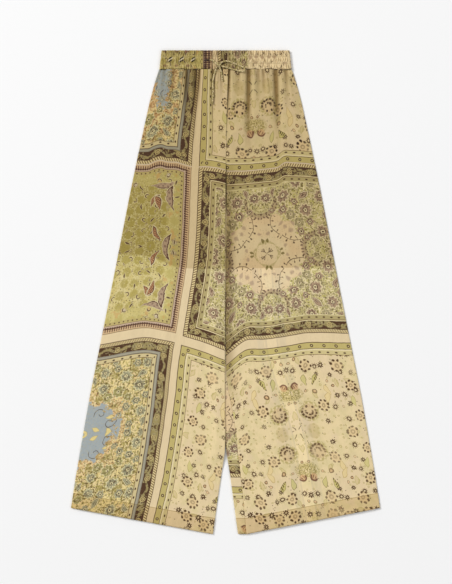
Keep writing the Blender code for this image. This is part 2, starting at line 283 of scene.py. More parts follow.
def leaf(motif, length, width):
    """A pointed leaf along the motif's own direction: 1 on its rib, 0 at its edge."""
    along = motif.turn.math("COSINE") * motif.radius
    across = motif.turn.math("SINE") * motif.radius
    return 1.0 - (along * along) / (length * length) - across.size() / width


def placed(vector, x, y, turn, size):
    """A given motif's own two coordinates, which are 1 at its size from its place."""
    tree = vector.id_data
    local = node_of(tree, "VectorMath", operation="SUBTRACT")
    tree.links.new(vector, local.inputs[0])
    local.inputs[1].default_value = (x, y, 0.0)
    own = []
    for angle in (turn, turn + 90):
        along = node_of(tree, "VectorMath", operation="DOT_PRODUCT")
        tree.links.new(local.outputs[0], along.inputs[0])
        along.inputs[1].default_value = (math.cos(math.radians(angle)) / size,
                                         math.sin(math.radians(angle)) / size, 0.0)
        own.append(Field(tree, along.outputs["Value"]))
    return own


def teardrop(u, v, width, bend, taper=0.45):
    """A bent leaf, blunt at one end: 1 on its rib and 0 at its edge."""
    square = u * u
    side = square.math("MULTIPLY_ADD", bend, v).size() / width
    return (1.0 - square) - side / (u * taper + 1.0).most(0.3)


def blossom(coats, worn, motif, size, count, shows, fill, light, dark):
    """A flower of the scattered motif: lobed, darker on one side, with a light eye."""
    lobed = petals(motif, count, 0.13)
    coats.coat(dark, lobed.between(size * 0.92, size * 1.12, 0.0008)
               * (motif.turn.wave(count) + worn).above(0.0, 0.4) * shows * 0.75)
    coats.coat(fill, lobed.below(size * 0.95, 0.0012) * shows * 0.85)
    shaded = (motif.turn.math("COSINE") * motif.radius + worn * 0.004).above(size * 0.18, 0.0010)
    coats.coat(dark, lobed.between(size * 0.42, size * 0.84, 0.0010) * shaded * shows * 0.38)
    coats.coat(light, lobed.below(size * 0.40, 0.0006) * shows * 0.9)
    coats.coat(dark, lobed.below(size * 0.19, 0.0005) * shows * 0.85)


def ray_of(u, v):
    return distance(u, v), v.math("ARCTAN2", u)


def flower_bed(vector, places, count, depth=0.13):
    """Flowers at listed places: 0 in the middle of the nearest one, 1 about the tips of its petals."""
    bed = None
    for x, y, size in places:
        ray, angle = ray_of(*placed(vector, x, y, 0, size))
        lobed = ray / angle.wave(count).math("MULTIPLY_ADD", depth, 1.0)
        bed = bed.least(lobed) if bed else lobed
    return bed


def leaf_bed(vector, places, width, bend=0.10):
    """Pointed leaves at listed places: 1 on the rib of the nearest one, 0 at its edge."""
    bed = None
    for x, y, turn, size in places:
        blade = teardrop(*placed(vector, x, y, turn, size), width, bend)
        bed = bed.most(blade) if bed else blade
    return bed


def crowd(coats, c, shows, plain, small, large, leaves, inks):
    """Four sorts of motifs at listed places, worn and unevenly inked: plain petals, small ringed flowers,
    large flowers in a ring of dots, and pointed leaves."""
    pale, middle, deep, greenish = inks
    bed = flower_bed(c.quarter, plain, 7.0) + c.worn * 0.05
    coats.stamp(bed, 1.2, (
        (0.0, deep), (0.13, pale), (0.30, greenish), (0.86, pale), (1.0, None)), shows)
    coats.coat(deep, bed.between(0.30, 0.86, 0.05) * c.speck.above(0.50, 0.10) * shows * 0.35)
    bed = flower_bed(c.quarter, small, 6.0) + c.worn * 0.06
    coats.stamp(bed, 1.2, (
        (0.0, deep), (0.20, pale), (0.46, deep), (0.62, middle), (1.0, None)), shows)
    bed = flower_bed(c.quarter, large, 9.0) + c.worn * 0.05
    coats.coat(deep, bed.between(1.12, 1.36, 0.04) * c.speck.above(0.54, 0.04) * shows * 0.75)
    coats.stamp(bed, 1.2, (
        (0.0, deep), (0.12, pale), (0.30, deep), (0.38, middle), (0.76, pale), (0.96, greenish),
        (1.08, None)), shows)
    coats.coat(deep, bed.between(0.36, 0.80, 0.05) * (c.blotch + c.speck).above(1.02, 0.06) * shows * 0.45)
    blade = 1.0 - leaf_bed(c.quarter, leaves, 0.44) + c.worn * 0.04
    coats.stamp(blade, 1.5, (
        (0.0, deep), (0.14, middle), (0.66, deep), (0.80, pale), (1.12, deep), (1.22, None)), shows)


def from_spot(c, period, centre, stretch=1.0):
    return distance((c.along.wrap(period) - period / 2) / stretch, c.edge - centre)


def spots(c, period, radius, centre, stretch=1.0):
    """Spots along a border, at a distance of centre inside the block's edge."""
    return from_spot(c, period, centre, stretch).below(radius)


def rings(c, period, radius, centre, line):
    return (from_spot(c, period, centre) - radius).size().below(line)


# The fields that the blocks are painted from, and three more that each block works out itself
Cloth = namedtuple("Cloth", "across_x across_y from_centre round_centre y lower edge along blotch speck "
                            "fade grit sprig near_leaf dark_dust light_dust near fine cells dust")
Drawn = namedtuple("Drawn", Cloth._fields + ("quarter", "worn", "faded"))


def node_group(name, inputs, outputs):
    """A node group with sockets of these names and kinds: it, its inputs and its outputs."""
    group = bpy.data.node_groups.new(name, "ShaderNodeTree")
    for way, sockets in (("INPUT", inputs), ("OUTPUT", outputs)):
        for socket, kind in sockets:
            group.interface.new_socket(socket, in_out=way, socket_type="NodeSocket" + kind)
    return group, group.nodes.new("NodeGroupInput").outputs, group.nodes.new("NodeGroupOutput").inputs


def block(parent, name, draw, cloth):
    """A block of the print as a node group of its own.  draw(tree, c) paints it from the fields of
    the cloth, which reach the group through its sockets."""
    flat = []
    for field in cloth:
        flat += list(field) if isinstance(field, Motif) else [field]
    group, brought, given = node_group(
        name, [("field %d" % index, "Float") for index in range(len(flat))], [("Colour", "Color")])
    call = node_of(parent, "Group", node_tree=group)
    for field, slot in zip(flat, call.inputs):
        parent.links.new(field.socket, slot)
    inner = iter([Field(group, socket) for socket in brought if socket.name])
    here = Cloth(*(Motif(*(next(inner) for _ in field)) if isinstance(field, Motif) else next(inner)
                   for field in cloth))
    quarter = point(here.across_x, here.across_y)
    worn = (here.speck - 0.5) * 2.6         # breaks small marks up, as worn blocks print them
    faded = (here.fade - 0.5).math("MULTIPLY_ADD", 1.4, 0.92).clipped()
    group.links.new(draw(group, Drawn(*here, quarter, worn, faded)), given[0])
    return call.outputs[0]


BORDER_REACH = 0.06             # more than the borders' width
RING_PITCH = 0.048              # the dark border's ring flowers, and how far inside its edge they lie
RING_LINE = 0.0195


def dark_border(tree, c):
    """The rich and sage blocks' outer border: a beaded edge, then ring flowers on a dark floral."""
    festoon = c.along.wave(2 * math.pi / RING_PITCH) * 0.0042
    ground_shows = (c.blotch + c.speck * 0.5).above(0.79, 0.035).most(
        (c.edge - RING_LINE + festoon).size().below(0.0026, 0.0008) * c.speck.above(0.40, 0.06))
    floral = Coats(tree, BROWN)
    floral.coat(ink(158, 142, 92), ground_shows)
    floral.coat(ink(172, 158, 116), c.fine.radius.between(0.0014, 0.0034) * ground_shows * 0.8)
    floral.coat(BROWN, c.fine.radius.below(0.0014) * 0.8)
    floral.coat(YELLOW, spots(c, RING_PITCH, 0.0056, RING_LINE))
    floral.coat(BROWN, rings(c, RING_PITCH, 0.0036, RING_LINE, 0.0009))
    floral.coat(BROWN, spots(c, RING_PITCH, 0.0013, RING_LINE))
    rope = (c.along + c.edge * 0.55 + c.worn * 0.0003).wave(2 * math.pi / 0.0056).above(0.10, 0.5)
    bead = Coats(tree, bands(c.edge, 0.05, (
        (0.0, BROWN), (0.0014, ink(228, 207, 152)), (0.0086, BROWN)))[0])
    bead.coat(ink(108, 80, 48), rope * c.edge.between(0.0014, 0.0086) * 0.9)
    bead.coat(floral.colour, c.edge.above(0.0108))
    return bead.colour


def pale_block(tree, c):
    """Rosettes, star flowers and rings, far apart on cream."""
    pale = Coats(tree, ink(233, 211, 163))
    pale.coat(ink(219, 202, 150), c.blotch.above(0.55, 0.10) * 0.7)
    pale.coat(ink(226, 202, 166), c.fade.above(0.54, 0.06) * 0.5)
    line = paint(tree, ink(64, 42, 24), ink(92, 66, 38), c.lower)     # the lower rows are more worn
    pale.coat(ink(196, 178, 134), (1.0 - c.lower) * (0.21 - c.across_x * 1.7).most(0.0))
    pale.stamp(c.fine.radius, 0.006, ((0.0, CREAM), (0.0010, OLIVE), (0.0024, None)),
               c.fine.chance.above(0.70, 0.01) * 0.55)
    pale.coat(line, c.dust.radius.below(0.0012) * c.dust.kind.above(0.93, 0.01) * 0.75)
    star_shows = c.near.chance.above(0.72, 0.01)
    pale.stamp(c.near.radius + c.worn * 0.0004, 0.010, (
        (0.0, CREAM), (0.0024, STAR_BROWN), (0.0050, None)), star_shows * 0.95)
    spikes = (c.near.turn.wave(11.0) + c.worn * 0.5).above(0.30, 0.3) * c.near.radius.between(0.0040, 0.0080)
    pale.coat(SEPIA, spikes * star_shows * 0.65)
    pale.stamp(c.near.radius, 0.010, ((0.0, PEACH), (0.0022, SEPIA), (0.0036, None)),
               c.near.chance.between(0.38, 0.50, 0.01) * 0.7)
    pale.stamp(1.0 - c.near_leaf, 1.5, ((0.0, SAND), (0.50, OLIVE_LIGHT), (0.82, OLIVE), (1.0, None)),
               c.near.chance.below(0.14, 0.01) * 0.6)
    u, v = placed(c.quarter, 0.037, 0.004, 0, 0.0140)
    pale.coat(ink(190, 168, 108), (u * u + v * v + c.worn * 0.16).below(0.9, 0.3) * 0.45)
    stars = flower_bed(c.quarter, (
        (0.0, 0.147, 0.0070), (0.075, 0.024, 0.0064), (0.081, 0.152, 0.0064), (0.068, 0.131, 0.0060),
        (0.099, 0.129, 0.0058), (0.134, 0.064, 0.0060), (0.148, 0.136, 0.0062), (0.108, 0.083, 0.0056),
        (0.010, 0.191, 0.0074), (0.064, 0.180, 0.0070), (0.098, 0.182, 0.0076), (0.146, 0.178, 0.0070),
        (0.028, 0.210, 0.0070), (0.115, 0.206, 0.0070)), 8.0, 0.30)
    pale.stamp(stars + c.worn * 0.09, 1.2, ((0.0, CREAM), (0.26, STAR_BROWN), (0.84, None)), c.faded)
    berries = flower_bed(c.quarter, ((0.0075, 0.0690, 0.0034), (0.056, 0.091, 0.0054),
                                     (0.100, 0.105, 0.0040), (0.022, 0.170, 0.0036)), 5.0, 0.0)
    pale.stamp(berries + c.worn * 0.10, 1.2, ((0.0, PEACH), (0.44, SEPIA), (1.0, None)), c.faded * 0.9)
    # The upper rows' rosettes lie nearer the middle
    drawn_in = point(c.across_x + (1.0 - c.lower) * 0.0125, c.across_y)
    for rosette in ((0.0715, 0.0590, 20, 0.0112), (0.046, 0.151, -50, 0.0118), (0.119, 0.151, 30, 0.0122),
                    (0.1265, 0.0, 80, 0.0114), (0.151, 0.037, 0, 0.0100), (0.142, 0.106, 10, 0.0106),
                    (0.044, 0.192, 35, 0.0118), (0.082, 0.194, -20, 0.0112), (0.126, 0.186, 70, 0.0118)):
        ray, angle = ray_of(*placed(drawn_in, *rosette))
        pale.coat(ink(226, 198, 148), ray.below(1.0, 0.16) * 0.85)
        rise, swing = (ray - 1.0) * 4.3, (angle * 4.0).math("SINE")
        beads = (rise * rise + swing * swing * 1.3 + c.worn * 0.45).below(1.0, 0.30)
        eye = (ray - 0.30).size().below(0.13, 0.08) * 0.5
        pale.coat(line, beads.most(eye) * c.faded)
    # A carnation, leaves, pears, a posy and a bell beside the block's middle line
    below_waist = point(c.across_x + (c.y + c.lower).below(0.0), c.across_y)
    u, v = placed(below_waist, 0.0360, 0.0460, -98, 0.0172)
    ray, angle = ray_of(u, v)
    pale.coat(OLIVE, (ray + c.worn * 0.16).between(0.90, 1.40, 0.1) * c.speck.above(0.46, 0.08) * 0.7)
    pale.coat(ink(218, 190, 142), ray.below(0.98, 0.15) * 0.8)
    pale.coat(SEPIA, (ray + c.worn * 0.05).between(0.76, 1.02, 0.08) * u.above(-0.30, 0.1) * 0.35)
    outer_arc = (ray - 0.92).size().below(0.14, 0.06) * u.above(-0.30, 0.1) * (
        angle.wave(13.0) + c.worn).above(-0.45, 0.3)
    inner_arc = (ray - 0.44).size().below(0.12, 0.06) * u.above(-0.10, 0.1) * (
        angle.wave(7.0) + c.worn).above(-0.60, 0.3)
    dot_u, dot_v = (u + 0.62) * 6.0, (v.size() - 0.40) * 6.0
    pale.coat(line, outer_arc.most(inner_arc).most(
        (dot_u * dot_u + dot_v * dot_v + c.worn * 0.3).below(1.0, 0.3)) * c.faded)
    pear_edge, pear = ink(182, 152, 90), ink(230, 206, 150)
    for x, y, turn, edging, filling, hatched in (
            (0.060, 0.120, 62, OLIVE_DARK, ink(204, 190, 118), True),
            (0.037, 0.117, 98, OLIVE_DARK, ink(210, 196, 130), False),
            (0.084, 0.077, 75, pear_edge, pear, False), (0.086, 0.094, 120, pear_edge, pear, False),
            (0.142, 0.070, 100, OLIVE, ink(214, 200, 134), False)):
        u, v = placed(c.quarter, x, y, turn, 0.0145)
        blade = teardrop(u, v, 0.38, 0.12)
        pale.coat(edging, (blade + c.worn * 0.05).above(0.0, 0.06) * 0.95)
        pale.coat(filling, (blade + c.worn * 0.05).above(0.16, 0.06))
        if hatched:
            hatch = (u * 15.0 + v.size() * 13.0).math("SINE").above(0.0, 0.4) * v.below(0.06, 0.05)
            pale.coat(line, hatch * blade.above(0.02, 0.05) * 0.9)
    u, v = placed(c.quarter, 0.0, 0.0900, 0, 0.0262)
    fuzz = (u * u + v * v * 2.2 + c.worn * 0.32).below(1.05, 0.35)
    pale.coat(ink(200, 182, 116), fuzz * c.speck.above(0.40, 0.06) * 0.80)
    pale.coat(ink(134, 116, 62), fuzz * (c.grit + c.speck * 0.5).above(0.80, 0.04) * 0.75)
    u, v = placed(c.quarter, 0.0130, 0.1060, 120, 0.0096)
    ray = distance(u, v)
    bell = (ray - 0.80).size().below(0.20, 0.08) * (u + c.worn * 0.1).above(-0.10, 0.15)
    pale.coat(ink(212, 170, 122), ray.below(0.85, 0.15) * 0.8)
    clappers = (v.size() - 0.30).size().below(0.09, 0.05) * ray.below(0.5, 0.05)
    pale.coat(ink(110, 70, 50), bell.most(clappers) * 0.9)
    crossed = (c.across_x - c.across_y * 0.72 + 0.0005).size().below(0.0011)
    pale.coat(line, crossed * c.across_y.between(0.0055, 0.0150) * 0.85)
    pale.stamp(c.edge, BORDER_REACH, (
        (0.0, BROWN), (0.0016, ink(196, 179, 112)), (0.0142, BROWN), (0.0154, ink(230, 213, 168)),
        (0.0188, ink(210, 193, 138)), (0.0278, SEPIA), (0.0290, None)))
    pale.coat(ink(214, 198, 140), spots(c, 0.0280, 0.0036, 0.0082))
    pale.coat(BROWN, rings(c, 0.0280, 0.0026, 0.0082, 0.0011))
    pale.coat(BROWN, spots(c, 0.0190, 0.0017, 0.0236, 1.9))
    return pale.colour


WREATH = 0.121                  # a wreath's middle, from the block's


def sage_block(tree, c):
    """Crowded mauve flowers and lime sprigs round a pale medallion with vines."""
    sage = Coats(tree, ink(205, 191, 130))
    sage.coat(ink(234, 216, 170), c.blotch.above(0.50, 0.05) * 0.95)
    sage.coat(ink(188, 176, 98), (c.speck + c.blotch * 0.6).above(0.86, 0.05) * 0.85)
    sage.coat(ink(188, 166, 134), c.speck.below(0.43, 0.04) * c.blotch.below(0.50, 0.05) * 0.55)
    sage.coat(ink(168, 158, 80), c.sprig.above(0.0, 0.15) * c.fine.chance.above(0.55, 0.01) * 0.75)
    sprig_rib = (c.sprig + c.worn * 0.2).above(0.55, 0.10)
    sage.coat(OLIVE_DARK, sprig_rib * c.fine.chance.above(0.66, 0.01) * 0.8)
    sage.coat(OLIVE_DARK, c.grit.above(0.61, 0.03) * 0.25)
    sage.coat(ink(226, 212, 168), c.grit.below(0.40, 0.03) * 0.30)
    blade, blade_shows = c.near_leaf + c.worn * 0.10, c.near.chance.above(0.30, 0.01)
    sage.coat(ink(228, 212, 164), blade.above(-0.28, 0.08) * blade_shows * 0.75)
    sage.coat(ink(152, 138, 82), blade.above(0.0, 0.08) * blade_shows * 0.80)
    sage.coat(ink(196, 184, 124), blade.above(0.45, 0.10) * blade_shows * 0.70)

    far, close = c.across_x.most(c.across_y), c.across_x.least(c.across_y)
    from_wreath = distance(far - WREATH, close)
    medal = (c.from_centre + (c.blotch - 0.5) * 0.034 + c.worn * 0.0008).below(0.089, 0.0020)
    medal = medal * from_wreath.above(0.036)
    sage.coat(paint(tree, ink(230, 209, 166), PEACH, c.fade.above(0.50, 0.12) * 0.36), medal)
    folded = point(far, close)
    bruises = leaf_bed(folded, ((0.064, 0.043, 40, 0.0085), (0.050, 0.052, -30, 0.0080),
                                (0.046, 0.010, 80, 0.0060), (0.070, 0.060, 100, 0.0090)), 0.75)
    sage.coat(ink(172, 146, 122), bruises.above(0.30, 0.30) * medal * 0.70)
    bow, turned = ray_of(*placed(folded, 0.0700, 0.0550, 0, 0.0350))
    reach = turned.between(-2.55, -1.05, 0.02)
    vine = (bow - 1.0 + c.worn * 0.006).size().below(0.020, 0.012)
    twigs = None
    for shift, start, end, bud_end in ((0.0, 0.80, 1.0, 0.80), (0.21, 1.0, 1.16, 1.16)):
        twig_turn = (turned + shift).wrap(0.42) - 0.21
        twig = twig_turn.size().below(0.016, 0.010) * bow.between(start, end, 0.02)
        bud_bow, bud_turn = (bow - bud_end) / 0.065, twig_turn / 0.048
        bud = (bud_bow * bud_bow + bud_turn * bud_turn).below(1.0, 0.3)
        twigs = twigs.most(twig).most(bud) if twigs else twig.most(bud)
    sage.coat(ink(84, 60, 38), vine.most(twigs) * reach * 0.9)
    around = close.math("ARCTAN2", WREATH - far)
    wreath = from_wreath + c.worn * 0.0009
    inner_side = far.below(0.127, 0.003)
    mauve_pale, mauve_mid, mauve_deep = ink(220, 202, 158), ink(172, 145, 116), ink(84, 59, 42)
    sage.coat(ink(206, 190, 140), wreath.between(0.0250, 0.0300, 0.0012) * inner_side * 0.7)
    sage.coat(mauve_mid, wreath.between(0.0300, 0.0400, 0.0012) * inner_side * 0.65)
    slants = (around * 17.0 + from_wreath * 420.0).math("SINE").above(0.35, 0.3)
    ticks = (around.wave(34.0) + c.worn * 0.6).above(0.20, 0.4)
    dashes = wreath.between(0.0290, 0.0335) * slants + wreath.between(0.0368, 0.0412) * ticks
    sage.coat(mauve_deep, dashes.least(1.0) * inner_side * 0.75)
    open_ground = 1.0 - medal * 0.15
    crowd(sage, c, open_ground, (
        (0.068, 0.078, 0.0120), (0.086, 0.060, 0.0120), (0.114, 0.016, 0.0090), (0.118, 0.148, 0.0110)),
        ((0.087, 0.040, 0.0090), (0.051, 0.091, 0.0100), (0.099, 0.026, 0.0075), (0.160, 0.100, 0.0096),
         (0.112, 0.062, 0.0084), (0.078, 0.106, 0.0080), (0.026, 0.098, 0.0070)),
        ((0.053, 0.122, 0.0156), (0.103, 0.088, 0.0160), (0.136, 0.040, 0.0158), (0.084, 0.150, 0.0138),
         (0.138, 0.122, 0.0152), (0.013, 0.128, 0.0128), (0.155, 0.008, 0.0132)),
        ((0.100, 0.122, 45, 0.0150), (0.150, 0.076, 110, 0.0140), (0.030, 0.138, 80, 0.0115),
         (0.152, 0.150, 20, 0.0120)),
        (mauve_pale, mauve_mid, mauve_deep, ink(176, 162, 116)))
    sage.coat(ink(84, 60, 40), c.dark_dust * (1.0 - medal * 0.8) * 0.85)
    sage.coat(WHITE, c.light_dust * (1.0 - medal) * 0.25)

    swelling = c.round_centre.wave(4.0).math("MULTIPLY_ADD", 0.0018, 0.0028)
    ring = (c.from_centre - 0.0275 + c.worn * 0.0005).size().below(swelling, 0.0010)
    sage.coat(ink(162, 150, 84), ring * (c.worn + 1.0).above(0.8, 0.3) * 0.62)
    drops = leaf_bed(c.quarter, ((0.0350, 0.0042, 25, 0.0058), (0.0045, 0.0305, 70, 0.0058)), 0.5)
    sage.coat(OLIVE_DARK, drops.above(0.0, 0.1) * 0.85)
    u, v = placed(c.quarter, 0.0, 0.0, 42, 0.0170)
    barb = (v.size() - (u - 0.42).size() * 0.55).size().below(0.055, 0.03) * u.between(0.42, 0.80, 0.03)
    tip = (v.size() - 0.20).size().below(0.070, 0.03) * u.between(0.78, 0.92, 0.03)
    spray = (v.size().below(0.045, 0.03) * u.between(0.08, 1.00, 0.03)).most(barb).most(tip)
    sage.coat(BROWN, spray * 0.85)
    sage.coat(dark_border(tree, c), c.edge.below(0.0284))
    sage.stamp(c.edge, BORDER_REACH, (
        (0.0, None), (0.0280, ink(224, 207, 158)), (0.0302, SEPIA), (0.0315, ink(180, 164, 112)),
        (0.0406, ink(220, 205, 156)), (0.0424, None)))
    sage.coat(BROWN, spots(c, 0.0170, 0.0017, 0.0362, 1.7))
    return sage.colour


def green_block(tree, c):
    """Olive strewn with pale rings and specks, with mauve paisleys and small curls."""
    green = Coats(tree, ink(209, 190, 121))
    green.coat(ink(223, 205, 148), c.blotch.above(0.54, 0.08) * 0.8)
    green.coat(ink(160, 144, 70), c.y.below(0.040, 0.024) * 0.68)
    wavering = c.cells.radius + c.worn * 0.0007
    green.coat(ink(170, 154, 76), wavering.below(0.0100, 0.0016) * 0.70)
    scallops = wavering.between(0.0112, 0.0136) * (c.cells.turn * 13.0).math("COSINE").above(-0.25, 0.4)
    green.coat(ink(216, 204, 146), scallops * 0.75)
    green.coat(ink(214, 202, 142), c.grit.above(0.60, 0.03) * c.cells.radius.above(0.0085) * 0.55)
    green.coat(ink(140, 124, 60), c.grit.below(0.40, 0.03) * 0.30)
    green.coat(ink(220, 208, 150), c.light_dust * 0.5)
    green.coat(ink(100, 76, 40), c.dark_dust * c.cells.radius.above(0.0098) * 0.8)
    tiny_curl = c.fine.chance.above(0.86, 0.01) * (c.fine.turn.math("COSINE") + c.worn * 0.2).above(-0.2, 0.2)
    green.coat(ink(220, 204, 150), c.fine.radius.below(0.0040) * tiny_curl * 0.7)
    green.coat(ink(98, 64, 48), c.fine.radius.between(0.0014, 0.0028) * tiny_curl * 0.9)
    margin = c.edge.below(0.052, 0.004)
    green.coat(ink(206, 192, 122), margin * 0.55)
    green.coat(ink(204, 160, 96), margin * c.blotch.above(0.60, 0.03) * 0.6)
    blossom(green, c.worn, c.near, 0.0062, 6.0, margin * c.near.kind.above(0.55, 0.01),
            ink(186, 168, 128), WHITE, MAUVE_DARK)
    curl_side = (c.near.turn.math("COSINE") + c.worn * 0.2).above(-0.30, 0.15)
    curl_shows = c.near.chance.above(0.42, 0.01) * curl_side
    green.coat(ink(220, 204, 150), c.near.radius.between(0.0020, 0.0066) * curl_shows * 0.75)
    green.coat(ink(84, 52, 40), c.near.radius.between(0.0031, 0.0051) * curl_shows * 0.95)
    small_leaf = c.near.chance.below(0.20, 0.01)
    green.coat(ink(220, 204, 150), c.near_leaf.above(0.42, 0.06) * small_leaf * 0.75)
    green.coat(ink(84, 56, 38), c.near_leaf.above(0.62, 0.06) * small_leaf * 0.92)
    large = (0.20, -0.24, 0.8, ink(180, 154, 126), 15.0, MAUVE_DARK, 0.30, 0.6)
    small = (0.08, -0.34, 0.5, ink(196, 148, 104), 22.0, ink(106, 62, 44), 0.0, 0.95)
    for sort, drops in (
            (large, ((0.136, 0.136, 6, 0.0270, 0.24, -0.30), (0.152, 0.111, 96, 0.0300, 0.24, 0.30),
                     (0.146, 0.000, 90, 0.0310, 0.18, 0.40))),
            (small, ((0.117, 0.106, 46, 0.0155, 0.36, 0.20), (0.128, 0.098, 104, 0.0175, 0.34, -0.15),
                     (0.122, 0.0265, 118, 0.0190, 0.26, 0.30)))):
        wear, halo, tilt, filling, count, checked, gap, strength = sort
        for x, y, turn, size, width, bend in drops:
            u, v = placed(c.quarter, x, y, turn, size)
            drop = teardrop(u, v, width, bend) + c.worn * wear
            green.coat(ink(222, 206, 164), drop.above(halo, 0.05) * 0.80)
            green.coat(ink(92, 60, 46), drop.above(0.0, 0.05))
            body = drop + v * tilt
            green.coat(filling, body.above(0.22, 0.06))
            checks = (u.wave(count) * v.wave(count) + c.worn * 0.1).above(gap, 0.25)
            green.coat(checked, body.above(0.30, 0.05) * checks * strength)
    green.stamp(c.edge, BORDER_REACH, (
        (0.0, ink(150, 122, 88)), (0.0016, ink(216, 184, 140)), (0.0094, ink(86, 54, 42)),
        (0.0136, ink(204, 178, 152)), (0.0166, ink(140, 112, 82)), (0.0178, ink(192, 174, 112)),
        (0.0250, None)))
    teeth = ((c.along + c.worn * 0.0003).wave(2 * math.pi / 0.0052).above(-0.05, 0.6)
             * (c.edge + c.worn * 0.0006).between(0.0036, 0.0100, 0.0008))
    green.coat(ink(98, 62, 46), teeth * 0.92)
    green.coat(ink(216, 190, 158), spots(c, 0.0052, 0.0011, 0.0128) * 0.7)
    green.coat(ink(84, 56, 40), spots(c, 0.0100, 0.0016, 0.0218))
    return green.colour


def rich_block(tree, c):
    """Crowded small flowers in yellow, grey and olive, with a ragged blue patch."""
    rich = Coats(tree, ink(233, 211, 144))
    rich.coat(ink(231, 209, 160), c.blotch.above(0.48, 0.10))
    rich.coat(ink(226, 188, 134), c.fade.above(0.54, 0.05) * c.speck.above(0.42, 0.06) * 0.5)
    sprig = c.sprig + c.worn * 0.2
    rich.coat(ink(190, 172, 96), sprig.above(0.0, 0.15) * c.fine.chance.above(0.20, 0.01) * 0.85)
    rich.coat(OLIVE_DARK, sprig.above(0.55, 0.1) * c.fine.kind.above(0.50, 0.01) * 0.7)
    dabs = (c.blotch + c.speck * 0.7).above(0.89, 0.04)
    rich.coat(ink(164, 148, 76), dabs * 0.85)
    rich.coat(OLIVE_DARK, dabs * (c.near_leaf + c.worn * 0.4).above(0.30, 0.15) * 0.70)
    rich.coat(ink(132, 112, 60), c.grit.above(0.61, 0.03) * 0.35)
    rich.coat(ink(240, 222, 166), c.grit.below(0.40, 0.03) * 0.40)
    u, v = placed(c.quarter, 0.104, 0.012, 80, 0.052)
    side_patch = (u * u + v * v * 11.0).math("SQRT") + c.lower * 9.0 + (c.blotch + c.speck - 1.0) * 1.2
    middle_patch = c.from_centre / 0.088 + (c.fade - 0.5) * 0.9
    ragged = middle_patch.least(side_patch) + (c.blotch - 0.5) * 0.70 + c.worn * 0.10
    patch = ragged.below(1.0, 0.03)
    rich.coat(ink(212, 164, 116), ragged.between(1.0, 1.22, 0.05) * c.speck.above(0.50, 0.06) * 0.55)
    rich.coat(ink(204, 156, 108), (1.0 - c.lower) * ragged.between(1.0, 2.1, 0.1)
              * (c.blotch + c.speck).above(0.98, 0.06) * 0.65)
    rich.coat(paint(tree, BLUE, ink(180, 180, 166), c.speck.above(0.56, 0.08) * 0.5), patch)
    island = c.near_leaf * patch
    rich.coat(OLIVE, island.above(0.06, 0.05) * c.near.chance.above(0.62, 0.01) * 0.8)
    rich.coat(YELLOW, island.above(0.22, 0.08) * c.near.chance.above(0.62, 0.01))
    for curl in ((0.074, 0.022, 200), (0.050, 0.044, 20), (0.116, 0.040, 60)):
        ray, angle = ray_of(*placed(c.quarter, *curl, 0.0150))
        swirl = (ray - (angle * 0.13 + 0.62)).size().below(0.050, 0.03)
        rich.coat(ink(88, 70, 48), swirl * ray.below(1.05, 0.02) * patch * 0.9)
    open_ground = 1.0 - patch * (c.lower * 0.35 + 0.50)
    crowd(rich, c, open_ground, (
        (0.0855, 0.088, 0.0130), (0.062, 0.078, 0.0115), (0.108, 0.072, 0.0095), (0.030, 0.150, 0.0100),
        (0.085, 0.192, 0.0110)),
        ((0.1065, 0.050, 0.0085), (0.148, 0.073, 0.0080), (0.092, 0.034, 0.0070), (0.128, 0.060, 0.0080),
         (0.118, 0.010, 0.0085), (0.080, 0.140, 0.0080), (0.122, 0.146, 0.0085), (0.052, 0.172, 0.0080)),
        ((0.101, 0.120, 0.0138), (0.132, 0.096, 0.0140), (0.141, 0.036, 0.0125), (0.050, 0.100, 0.0115),
         (0.146, 0.148, 0.0120), (0.052, 0.136, 0.0115), (0.010, 0.118, 0.0110), (0.112, 0.180, 0.0125)),
        ((0.134, 0.122, 35, 0.0125), (0.072, 0.160, -70, 0.0130), (0.028, 0.120, 100, 0.0105),
         (0.148, 0.012, 80, 0.0115), (0.142, 0.182, 60, 0.0120)),
        (ink(220, 208, 160), ink(170, 165, 130), ink(88, 70, 46), ink(168, 158, 100)))
    rich.coat(ink(88, 58, 36), c.dark_dust * open_ground * 0.90)
    rich.coat(ink(96, 78, 44), c.speck.above(0.63, 0.03) * open_ground * 0.45)
    rich.coat(ink(238, 220, 164), c.light_dust * open_ground * 0.6)
    rich.coat(dark_border(tree, c), c.edge.below(0.0290))
    rich.stamp(c.edge, BORDER_REACH, (
        (0.0, None), (0.0282, ink(110, 90, 66)), (0.0292, ink(158, 152, 134)), (0.0322, ink(182, 174, 148)),
        (0.0334, ink(148, 142, 124)), (0.0356, ink(104, 84, 58)), (0.0368, ink(212, 194, 144)),
        (0.0452, SEPIA), (0.0464, None)))
    rich.coat(BROWN, spots(c, 0.0190, 0.0019, 0.0418, 1.5))
    return rich.colour


